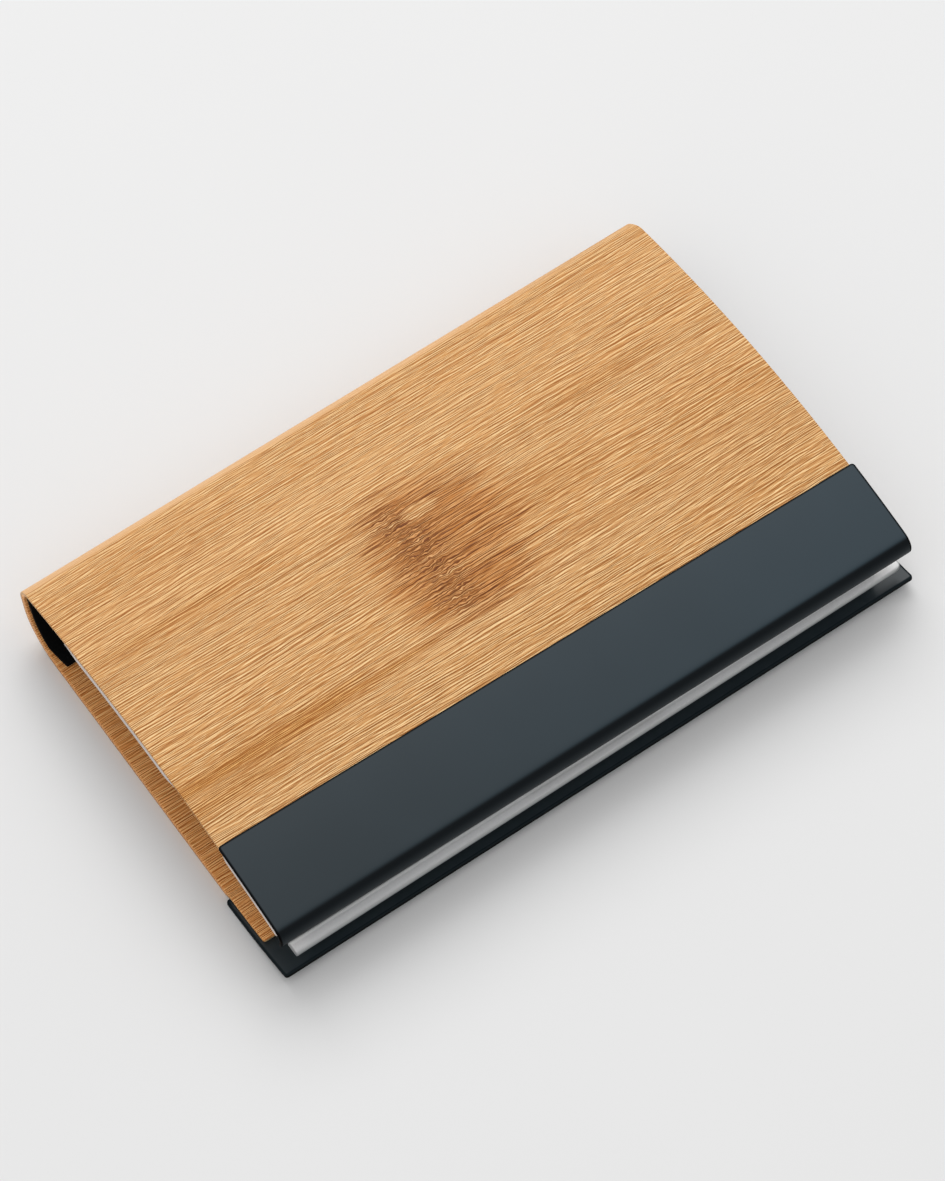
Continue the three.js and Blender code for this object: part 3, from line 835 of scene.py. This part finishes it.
def fold_share(tree, x, s):
    """1 on the upper fold and 0 off it, fading towards the right end."""
    rising = ramp(tree, s, FOLD_START + 0.9, FOLD_START + 1.5)
    falling = ramp(tree, s, FOLD_START + 4.0, FOLD_START + 3.2)
    fold = maths(tree, "MULTIPLY", rising, falling)
    return maths(tree, "MULTIPLY", fold, ramp(tree, x, 44.0, 10.0, 0.3, 1.0))


print("the upper fold starts", round(FOLD_START, 1), "mm along the sheet")

# %% [markdown]
# ## Grain and fibres
# Fibres run along X, 2 to 15 mm long and 0.1 to 0.3 mm wide. Stretched noise alone looks like smoke. Its
# slope across the grain colours each fibre: a painted highlight on one side, as if its relief were lit, and
# on the other a dark colour that is partly the fibre's own and partly painted shade. At the cane's node the
# fibres crinkle, about a wavering line across the grain.

# %% The node's line and three sizes of fibre
NODE_X = -3.8
NODE_Y = 2.9
FIBRE_STEP = 0.09
# Size in mm, seed, weight in the painted highlight and shade, weight in the relief.
FIBRES = [
    ((5, 0.19, 0.3), 1.7, 0.8, 1.0),
    ((2.2, 0.12, 0.2), 14.3, 0.45, 0.5),
    ((15, 0.28, 0.4), 31.2, 0.8, 0.6),
]


def cane_node(tree, flat, x, s):
    """How far a point is from the node's line, where the node reaches across the grain, and how much the
    fibres crinkle: a fine noise that fades with the distance from the line."""
    step = ramp(tree, s, place_on_sheet(9.5), place_on_sheet(7.0), -1.9, 0.0)
    line_x = maths(tree, "ADD", step, swing(tree, stretched(tree, flat, (30, 5, 30), 9.7, 1.0), 3.0))
    off_line = maths(tree, "ABSOLUTE", maths(tree, "SUBTRACT", maths(tree, "SUBTRACT", x, NODE_X), line_x))
    wide = ramp(tree, spot(tree, x, s, (NODE_X, NODE_Y), (9.0, 10.0)), 1.2, 0.5)
    crinkle = maths(tree, "MULTIPLY", swing(tree, stretched(tree, flat, (1.2, 0.6, 1), 6.6, 1.0), 0.75),
                    ramp(tree, off_line, 6.0, 0.5))
    return off_line, wide, maths(tree, "MULTIPLY", crinkle, wide)


def bent_grain(tree, flat, crinkle):
    """The place on the sheet, moved across the grain by a slow wave, a fine one and the crinkle."""
    x, s, depth = node(tree, "ShaderNodeSeparateXYZ", {0: flat}).outputs
    wave = maths(tree, "ADD", swing(tree, stretched(tree, flat, (60, 9, 9), 3.1, 0.0), 1.8),
                 swing(tree, stretched(tree, flat, (6, 1.6, 3), 7.2, 1.0), 0.3))
    across = maths(tree, "ADD", s, maths(tree, "ADD", wave, crinkle))
    return node(tree, "ShaderNodeCombineXYZ", {0: x, 1: across, 2: depth}).outputs[0]


def fibre_slope(tree, vector, lengths_mm, seed):
    """How much a stretched noise rises across the grain over FIBRE_STEP, and the noise itself."""
    here = stretched(tree, vector, lengths_mm, seed, 1.0, 0.5)
    ahead = node(tree, "ShaderNodeVectorMath", {0: vector, 1: (0, FIBRE_STEP, 0)}, operation="ADD").outputs[0]
    there = stretched(tree, ahead, lengths_mm, seed, 1.0, 0.5)
    return maths(tree, "SUBTRACT", there, here), here


def fibre_layers(tree, grain):
    """The slope and the height of the three sizes of fibre, each a weighted sum."""
    slope = height = 0.0
    for size, seed, painted_light_share, relief_share in FIBRES:
        rise, level = fibre_slope(tree, grain, size, seed)
        slope = maths(tree, "MULTIPLY_ADD", rise, painted_light_share, slope)
        height = maths(tree, "MULTIPLY_ADD", level, relief_share, height)
    return slope, height


# %% [markdown]
# ## Brown zones and the node's patch
# Cane is browner in some strips, and round its node it is stained. Painting these on would need a picture.
# Each is a soft oval on the sheet instead, with a ragged edge of noise that is drawn out along the grain.
# The patch is sharper on its left than on its right, and has a pale fleck.

# %% How brown a point is
# Centre as X and Y of the closed case, half width and depth in mm, and strength.
BROWN_ZONES = [
    ((-34.0, -7.4), (24.0, 1.9), 0.8),
    ((-44.0, -10.3), (13.0, 1.8), 0.55),
    ((-36.0, 20.0), (16.0, 9.0), 0.16),
    ((38.0, -3.0), (14.0, 12.0), 0.14),
    ((-32.0, 14.3), (19.0, 1.1), 0.45),
    ((29.0, 11.8), (10.0, 1.5), 0.4),
    ((12.0, 3.0), (14.0, 3.4), 0.28),
    ((20.0, -5.4), (16.0, 1.2), 0.3),
]
PATCH_LEFT = 7.8
PATCH_RIGHT = 13.8
PATCH_DEPTH = 11.2
FLECK = ((-1.2, 9.2), (2.7, 1.1))


def ragged_noise(tree, grain):
    """Two noises about zero, drawn out along the grain, for ragged edges."""
    return maths(tree, "ADD", swing(tree, stretched(tree, grain, (22, 0.8, 2), 4.4, 2.0, 0.6), 2.2),
                 swing(tree, stretched(tree, grain, (9, 0.3, 1), 16.4, 1.0, 0.6), 1.2))


def brown_share(tree, x, s, ragged):
    """The strongest of the brown zones at a point."""
    brown = 0.0
    for centre, half, depth in BROWN_ZONES:
        zone = maths(tree, "ADD", spot(tree, x, s, centre, half), ragged)
        brown = maths(tree, "MAXIMUM", ramp(tree, zone, 1.5, 0.0, 0.0, depth), brown)
    return brown


def stain_share(tree, grain, x, s, ragged):
    """The patch: (dx / half width) squared plus (ds / half depth) to the fourth, with a wider right half."""
    off_x = maths(tree, "SUBTRACT", x, NODE_X)
    right_side = maths(tree, "GREATER_THAN", off_x, 0.0)
    spread = maths(tree, "MULTIPLY_ADD", right_side, PATCH_RIGHT - PATCH_LEFT, PATCH_LEFT)
    far_x = maths(tree, "ABSOLUTE", maths(tree, "DIVIDE", off_x, spread))
    far_s = maths(tree, "DIVIDE", maths(tree, "SUBTRACT", s, place_on_sheet(NODE_Y)), PATCH_DEPTH)
    far_s = maths(tree, "POWER", maths(tree, "ABSOLUTE", far_s), 4.0)
    far = maths(tree, "ADD", maths(tree, "POWER", far_x, 2.0), far_s)
    far = maths(tree, "MULTIPLY_ADD", ragged, 1.4, far)
    fleck = maths(tree, "ADD", spot(tree, x, s, *FLECK),
                  swing(tree, stretched(tree, grain, (3, 0.5, 1), 8.1, 2.0), 1.6))
    return maths(tree, "MULTIPLY", ramp(tree, far, 1.5, -0.1), ramp(tree, fleck, 0.2, 1.6, 0.12, 1.0))


# %% [markdown]
# ## Bamboo
# Varnished bamboo has a dull sheen over warm yellow fibre. The colour is laid down in order: pale cane and
# its strips, the brown zones, the patch, the fibres' painted highlight and shade, and the wrinkles of the
# node. A painted sheen lies pale on the upper fold, where the grain fades, and the inner face is tinted
# redder.

# %% Varnished bamboo
def cane_tone(tree, grain, brown, stain, core):
    """The colour under the fibres: strips of cane, then the brown zones, the patch and its dark core."""
    strip = stretched(tree, grain, (110, 1.9, 3), 8.9, 1.0, 0.4)
    broad = stretched(tree, grain, (140, 7, 9), 2.3, 0.0, 0.4)
    tone = mix(tree, ramp(tree, broad, 0.3, 0.7), rgb("#D59B5B"), rgb("#DDA76A"))
    tone = mix(tree, maths(tree, "MULTIPLY", ramp(tree, strip, 0.5, 0.72), 0.4), tone, rgb("#C0884E"))
    tone = mix(tree, brown, tone, rgb("#A8620C"))
    tone = mix(tree, maths(tree, "MULTIPLY", stain, 0.9), tone, rgb("#B9722A"))
    return mix(tree, maths(tree, "MULTIPLY", core, 0.5), tone, rgb("#824812"))


def fibre_tone(tree, tone, grain, slope, grain_under_sheen, brown, stain):
    """A painted highlight on one side of each fibre, its own dark colour with painted shade on the other,
    and short dark dashes, laid over the cane's colour.
    """
    # The pale side of each fibre is a painted highlight, as if its relief were lit from across the grain.
    lit_side_highlight = maths(tree, "MULTIPLY", ramp(tree, slope, 0.0, 0.16), grain_under_sheen)
    highlight_tone = mix(tree, brown, rgb("#FBD69D"), rgb("#F0B364"))
    highlight_tone = mix(tree, stain, highlight_tone, rgb("#E0A264"))
    tone = mix(tree, maths(tree, "MULTIPLY", lit_side_highlight, 0.88), tone, highlight_tone)
    dark_tone = mix(tree, stain, rgb("#A2580F"), rgb("#703606"))
    # The dark side is partly the fibre's own darker colour and partly painted shade.
    groove = maths(tree, "MULTIPLY", ramp(tree, slope, 0.0, -0.16), grain_under_sheen)
    groove = maths(tree, "MULTIPLY", groove, ramp(tree, stain, 0.0, 1.0, 0.76, 0.95))
    tone = mix(tree, groove, tone, dark_tone)
    dash = stretched(tree, grain, (7, 0.26, 0.35), 21.4, 1.0)
    dash = maths(tree, "MULTIPLY", ramp(tree, dash, 0.37, 0.26), grain_under_sheen)
    return mix(tree, maths(tree, "MULTIPLY", dash, ramp(tree, stain, 0.0, 1.0, 0.42, 0.9)), tone, dark_tone)


def bamboo_material():
    """Varnished bamboo veneer: a low specular, a thin coat and fine relief give it a dull, warm sheen."""
    made, tree, shader = material("varnished_bamboo")
    flat = node(tree, "ShaderNodeAttribute", attribute_name="flat_mm").outputs["Vector"]
    x, s, depth = node(tree, "ShaderNodeSeparateXYZ", {0: flat}).outputs
    off_line, wide, crinkle = cane_node(tree, flat, x, s)
    grain = bent_grain(tree, flat, crinkle)
    slope, height = fibre_layers(tree, grain)
    fold = fold_share(tree, x, s)
    # Under the painted sheen on the upper fold, the grain and the relief fade.
    grain_under_sheen = ramp(tree, fold, 0.0, 1.0, 1.0, 0.4)
    ragged = ragged_noise(tree, grain)
    brown = brown_share(tree, x, s, ragged)
    stain = stain_share(tree, grain, x, s, ragged)
    core = maths(tree, "MULTIPLY", ramp(tree, off_line, 5.0, 0.0), stain)
    tone = cane_tone(tree, grain, brown, stain, core)
    tone = fibre_tone(tree, tone, grain, slope, grain_under_sheen, brown, stain)

    crease = stretched(tree, grain, (1.1, 0.4, 0.8), 2.4, 2.0, 0.6)
    wrinkle = maths(tree, "MULTIPLY", ramp(tree, crease, 0.48, 0.36), ramp(tree, off_line, 4.2, 0.4))
    wrinkle = maths(tree, "MULTIPLY", wrinkle, maths(tree, "MULTIPLY", wide, stain))
    tone = mix(tree, maths(tree, "MULTIPLY", wrinkle, 0.5), tone, rgb("#64340C"))
    # Painted sheen: the upper fold is lightened, standing for the light that it reflects.
    tone = mix(tree, maths(tree, "MULTIPLY", fold, 0.4), tone, rgb("#F3CBA0"))
    redder = node(tree, "ShaderNodeVectorMath", {0: tone, 1: (1.3, 1.06, 0.86)}, operation="MULTIPLY")
    tone = mix(tree, ramp(tree, depth, 0.35, 0.45), tone, redder.outputs[0])

    tree.links.new(tone, shader.inputs["Base Color"])
    shader.inputs["Roughness"].default_value = 0.5
    shader.inputs["Specular IOR Level"].default_value = 0.2
    shader.inputs["Coat Weight"].default_value = 0.04
    shader.inputs["Coat Roughness"].default_value = 0.35
    height = maths(tree, "SUBTRACT", height, maths(tree, "MULTIPLY", wrinkle, 0.2))
    bumped(tree, shader, height, maths(tree, "MULTIPLY", grain_under_sheen, 0.6), 0.4)
    return made


bamboo = bamboo_material()
print("bamboo:", len(bamboo.node_tree.nodes), "nodes")

# %% [markdown]
# ## Lacquer
# The bands are steel with a satin slate lacquer. Painted shade darkens it where a band curls down, and a
# painted shade line makes the cut edges nearly black. Its orange peel is drawn 0.35 mm wide, which only just
# shows. A plain dark colour would look like plastic, so a slow cloud varies its tone and its roughness, and a
# painted reflection lightens the tone towards the right end.

# %% Slate lacquer
def lacquer_material():
    """Satin dark slate lacquer on steel: a wide, weak highlight, painted shade on the curl and on the rims."""
    made, tree, shader = material("slate_lacquer")
    place = object_mm(tree)
    cloud = stretched(tree, place, (14, 14, 14), 1.3)
    peel = stretched(tree, place, (0.35, 0.35, 0.35), 2.9, 3.0)
    along_case = node(tree, "ShaderNodeSeparateXYZ", {0: place}).outputs[0]
    # Painted reflection: the tone lightens towards the right end, and a slow cloud varies it at random.
    lit_gradient_and_cloud = maths(tree, "ADD", ramp(tree, along_case, -55.0, 55.0), swing(tree, cloud, 0.5))
    tone = mix(tree, lit_gradient_and_cloud, rgb("#19272E"), rgb("#26363F"))
    flat = node(tree, "ShaderNodeAttribute", attribute_name="flat_mm").outputs["Vector"]
    _, along, inward = node(tree, "ShaderNodeSeparateXYZ", {0: flat}).outputs
    edge = node(tree, "ShaderNodeAttribute", attribute_name="rim").outputs["Fac"]
    # Painted shade: where the band curls down round its nose and into its lip, the lacquer is darkened.
    curl = ramp(tree, along, CURL_START + 0.8, CURL_START + 1.4)
    lip = mix(tree, ramp(tree, along, CURL_START + 1.4, CURL_START + 3.2), rgb("#0A1014"), rgb("#161F24"))
    tone = mix(tree, curl, tone, lip)
    tone = mix(tree, ramp(tree, inward, 0.46, 0.56, 0.0, 0.9), tone, rgb("#222C31"))
    # Painted shade line: the cut edges are darkened nearly to black.
    painted_rim_shade = maths(tree, "MULTIPLY", edge, ramp(tree, inward, 0.46, 0.6, 0.9, 0.4))
    tone = mix(tree, painted_rim_shade, tone, rgb("#070605"))
    tree.links.new(tone, shader.inputs["Base Color"])
    tree.links.new(ramp(tree, cloud, 0.2, 0.8, 0.4, 0.46), shader.inputs["Roughness"])
    gloss = ramp(tree, along, CURL_START + 0.6, CURL_START + 1.4, 0.4, 0.12)
    gloss = maths(tree, "MULTIPLY", gloss, ramp(tree, edge, 0.0, 1.0, 1.0, 0.1))
    tree.links.new(gloss, shader.inputs["Specular IOR Level"])
    bumped(tree, shader, peel, 0.12, 0.02)
    return made


lacquer = lacquer_material()

# %% [markdown]
# ## Steel
# The tray is rolled stainless steel, with fine marks along X. The plate's sheared ends look nearly white in
# the photograph, so its satin plating is only a little metallic. The rail looks blasted: its marks are finer
# than a pixel, and are drawn 0.3 mm wide so that they show. It scatters light like a pale surface.

# %% Rolled, plated and blasted steel
def steel_material(name, colour, rough, streak, metal=1.0):
    """Rolled steel. streak gives the lengths in mm of its rolling marks, which stretch its highlights."""
    made, tree, shader = material(name)
    place = object_mm(tree)
    marks = stretched(tree, place, streak, 4.1, 3.0, 0.6)
    cloud = stretched(tree, place, (9, 9, 9), 2.2)
    tone = mix(tree, maths(tree, "MULTIPLY", cloud, 0.4), rgb(colour), rgb("#BFC1C2"))
    tree.links.new(tone, shader.inputs["Base Color"])
    shader.inputs["Metallic"].default_value = metal
    tree.links.new(ramp(tree, marks, 0.25, 0.75, rough - 0.06, rough + 0.08), shader.inputs["Roughness"])
    bumped(tree, shader, marks, 0.12, 0.02)
    return made


def rail_material():
    """Blasted steel, with painted shade greying its rounded front edge and darkening its cut ends."""
    made, tree, shader = material("blasted_stainless")
    grit = stretched(tree, object_mm(tree), (0.3, 0.3, 0.3), 4.1, 3.0, 0.6)
    flat = node(tree, "ShaderNodeAttribute", attribute_name="flat_mm").outputs["Vector"]
    along = node(tree, "ShaderNodeSeparateXYZ", {0: flat}).outputs[1]
    edge = node(tree, "ShaderNodeAttribute", attribute_name="rim").outputs["Fac"]
    # Painted shade: the rounded front edge is greyed, and the cut ends are darker still.
    front = ramp(tree, along, rail_length - 0.9, rail_length - 0.25, 0.0, 0.75)
    tone = mix(tree, ramp(tree, grit, 0.3, 0.7), rgb("#F6F7F8"), rgb("#FBFCFC"))
    tone = mix(tree, front, tone, rgb("#7E8283"))
    tone = mix(tree, maths(tree, "MULTIPLY", edge, 0.7), tone, rgb("#55595A"))
    tree.links.new(tone, shader.inputs["Base Color"])
    shader.inputs["Roughness"].default_value = 0.45
    shader.inputs["Specular IOR Level"].default_value = 1.0
    bumped(tree, shader, grit, 0.12, 0.02)
    return made


tray_steel = steel_material("rolled_stainless", "#9DA0A2", 0.45, (6, 0.12, 0.12))
rail_steel = rail_material()
plate_steel = steel_material("plated_steel", "#E2D6CE", 0.45, (4, 0.3, 0.3), 0.1)

# %% [markdown]
# ## Cloth, felt and moulded pieces
# The coated cloth and the felt are rough, and a fine noise stands for their threads and fibres. Cells of
# 0.25 and 0.4 mm are coarser than real fibre, so that they show. Plastic, foam and plating get a faint
# mottle of their tone and roughness.

# %% The other finishes
def fabric_material(name, dark, pale, cell, strength):
    """Cloth or felt with a cell size in mm: very rough, with a pattern in tone and relief."""
    made, tree, shader = material(name)
    fine = stretched(tree, object_mm(tree), (cell, cell, cell), 3.3, 3.0, 0.7)
    tree.links.new(mix(tree, ramp(tree, fine, 0.3, 0.7), rgb(dark), rgb(pale)), shader.inputs["Base Color"])
    shader.inputs["Roughness"].default_value = 0.92
    shader.inputs["Specular IOR Level"].default_value = 0.15
    bumped(tree, shader, fine, strength, 0.1)
    return made


def moulded_material(name, dark, pale, rough, cell, metal=0.0):
    """Moulded plastic, foam or plating with a faint mottle."""
    made, tree, shader = material(name)
    cloud = stretched(tree, object_mm(tree), (cell, cell, cell), 5.8, 2.0)
    tree.links.new(mix(tree, cloud, rgb(dark), rgb(pale)), shader.inputs["Base Color"])
    tree.links.new(ramp(tree, cloud, 0.2, 0.8, rough - 0.05, rough + 0.05), shader.inputs["Roughness"])
    shader.inputs["Metallic"].default_value = metal
    return made


liner_cloth = fabric_material("black_coated_cloth", "#030303", "#070708", 0.25, 0.3)
felt = fabric_material("grey_felt", "#1E2023", "#34373B", 0.4, 0.7)
black_plastic = moulded_material("black_moulded_plastic", "#141517", "#1C1D20", 0.5, 3)
foam = moulded_material("white_foam_tape", "#C9C9C4", "#DADAD6", 0.85, 0.6)
nickel = moulded_material("nickel_plating", "#8F9194", "#A4A6A9", 0.35, 4, metal=1.0)
print("materials:", sorted(made.name for made in bpy.data.materials))

# %% [markdown]
# ## Bodies, slots and what each piece stands for
# Each new piece rides on the body of the solids that it replaces, so it moves with them, except the halves
# of the wrap and of the liner. These could be split at the folds, but that would open gaps there. They are
# left whole, with their transforms baked, and are not tied to a body. The tape and the magnet carrier are
# shown as the solids themselves.

# %% Dress the bodies
BLEND_LOW, BLEND_HIGH = -0.85, 1.15
lower_from = (0, *(np.array(wall_point(0, BLEND_LOW)) * MM))
lower_to = (0, *(np.array(wall_point(0, BLEND_HIGH)) * MM))
upper_from = (0, corner_start[0] * MM, corner_start[1] * MM)
arch_first = arc(CORNER, CORNER_RADIUS, arch_seam, arch_seam + 1, 2)[0]
upper_to = (0, arch_first[0] * MM, arch_first[1] * MM)
across_lower = ("base", "spine", lower_from, lower_to)
across_upper = ("spine", "cover", upper_from, upper_to)

dressed = [
    (wrap_lower, bamboo, "bamboo", ("back_cover",), across_lower),
    (wrap_upper, bamboo, "bamboo", ("front_cover", "spine_panel"), across_upper),
    (liner_lower, liner_cloth, "liner", ("spine_liner_base",), across_lower),
    (liner_upper, liner_cloth, "liner", ("spine_liner_cover", "spine_liner_fold"), across_upper),
    (front_plate, plate_steel, "steel", ("front_plate",), "cover"),
    (cover_lining, felt, "felt", ("cover_lining",), "cover"),
    (front_band, lacquer, "lacquer", ("front_band",), "cover"),
    (back_band, lacquer, "lacquer", ("back_band",), "base"),
    (card_tray, tray_steel, "steel", ("card_tray",), "base"),
    (front_rail, rail_steel, "steel", ("front_rail",), "base"),
    (magnets[0], nickel, "nickel", ("magnet_left",), "cover"),
    (magnets[1], nickel, "nickel", ("magnet_right",), "cover"),
]
for piece, finish, slot, nodes, way in dressed:
    piece.data.materials.append(finish)
    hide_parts(*nodes)
    if isinstance(way, str):
        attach(piece, way)
    else:
        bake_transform(piece)

carried = {"tray_tape": foam, "magnet_carrier": black_plastic}
for name, finish in carried.items():
    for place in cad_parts[name].material_slots:
        place.material = finish
print(len(dressed), "pieces built,", len(carried), "carried over")

# %% [markdown]
# ## Floor and light
# The photograph shows a plain pale surface under soft light. One large area lamp behind and to the right
# gives the shadow its direction and its soft edge, and a pale sky fills it. The sky is darker towards the
# horizon, as a room is, so the bands don't reflect white from the side.

# %% Floor, lamp and sky
FLOOR_HALF = 3.0
KEY_PLACE, KEY_SIZE, KEY_POWER = (0.315, 0.83, 1.0), 0.95, 8.7
SKY_LOW, SKY_RISE = 0.215, 0.76


def floor():
    """A wide plain floor just under the case."""
    size = FLOOR_HALF
    corners = [(-size, -size, 0), (size, -size, 0), (size, size, 0), (-size, size, 0)]
    mesh = bpy.data.meshes.new("floor")
    mesh.from_pydata(corners, [], [(0, 1, 2, 3)])
    made = bpy.data.objects.new("floor", mesh)
    bpy.context.scene.collection.objects.link(made)
    finish, tree, shader = material("pale_floor")
    cloud = stretched(tree, object_mm(tree), (60, 60, 60), 7.7)
    tree.links.new(mix(tree, cloud, rgb("#E6E6E6"), rgb("#E8E8E8")), shader.inputs["Base Color"])
    shader.inputs["Roughness"].default_value = 0.9
    shader.inputs["Specular IOR Level"].default_value = 0.1
    mesh.materials.append(finish)
    return made


def soft_light(name, location, size, power):
    """A square area light aimed at the case."""
    data = bpy.data.lights.new(name, "AREA")
    data.shape = "SQUARE"
    data.size = size
    data.energy = power
    made = bpy.data.objects.new(name, data)
    made.location = location
    towards = Vector((0, 0, 0.005)) - Vector(location)
    made.rotation_euler = towards.to_track_quat("-Z", "Y").to_euler()
    bpy.context.scene.collection.objects.link(made)
    return made


def pale_sky():
    """A white world whose strength is SKY_LOW plus SKY_RISE times the height of the direction."""
    sky = bpy.data.worlds.new("pale_sky")
    sky.use_nodes = True
    tree = sky.node_tree
    background = tree.nodes["Background"]
    background.inputs["Color"].default_value = rgb("#FFFFFF")
    direction = node(tree, "ShaderNodeTexCoord").outputs["Generated"]
    rise = node(tree, "ShaderNodeSeparateXYZ", {0: direction}).outputs[2]
    strength = maths(tree, "MULTIPLY_ADD", maths(tree, "MAXIMUM", rise, 0.0), SKY_RISE, SKY_LOW)
    tree.links.new(strength, background.inputs["Strength"])
    return sky


ground = floor()
key = soft_light("key_light", KEY_PLACE, KEY_SIZE, KEY_POWER)
bpy.context.scene.world = pale_sky()
bpy.context.scene.view_settings.view_transform = "Standard"
print("lamp:", round(Vector(KEY_PLACE).length, 2), "m away,", KEY_POWER, "W")

# %% [markdown]
# ## Camera
# The camera stands where the photograph was taken: azimuth -35 degrees, elevation 61.6 degrees, 629 mm from
# the case. These come from fitting the case's straight edges. The lens gives the photograph's perspective,
# and the small shifts put the case at the same place in the frame.

# %% Camera
AZIMUTH, ELEVATION, DISTANCE = math.radians(-35.028), math.radians(61.605), 628.9
SHIFT_RIGHT, SHIFT_UP, DROP, BACK_SHIFT = 0.45, 2.68, 0.306, 0.35
LENS, SENSOR = 147.4, 36.0
level = math.cos(ELEVATION)
back = Vector((math.sin(AZIMUTH) * level, -math.cos(AZIMUTH) * level, math.sin(ELEVATION)))
right = Vector((math.cos(AZIMUTH), math.sin(AZIMUTH), 0))
up = back.cross(right)
camera_data = bpy.data.cameras.new("camera")
camera_data.sensor_width = SENSOR
camera_data.lens = LENS
camera = bpy.data.objects.new("camera", camera_data)
place = back * DISTANCE + right * SHIFT_RIGHT + up * SHIFT_UP - Vector((0, BACK_SHIFT, DROP))
axes = Matrix((right, up, back)).transposed().to_4x4()
camera.matrix_world = Matrix.Translation(place * MM) @ axes
bpy.context.scene.collection.objects.link(camera)
bpy.context.scene.camera = camera
print("camera at, mm:", [round(float(v), 1) for v in place])
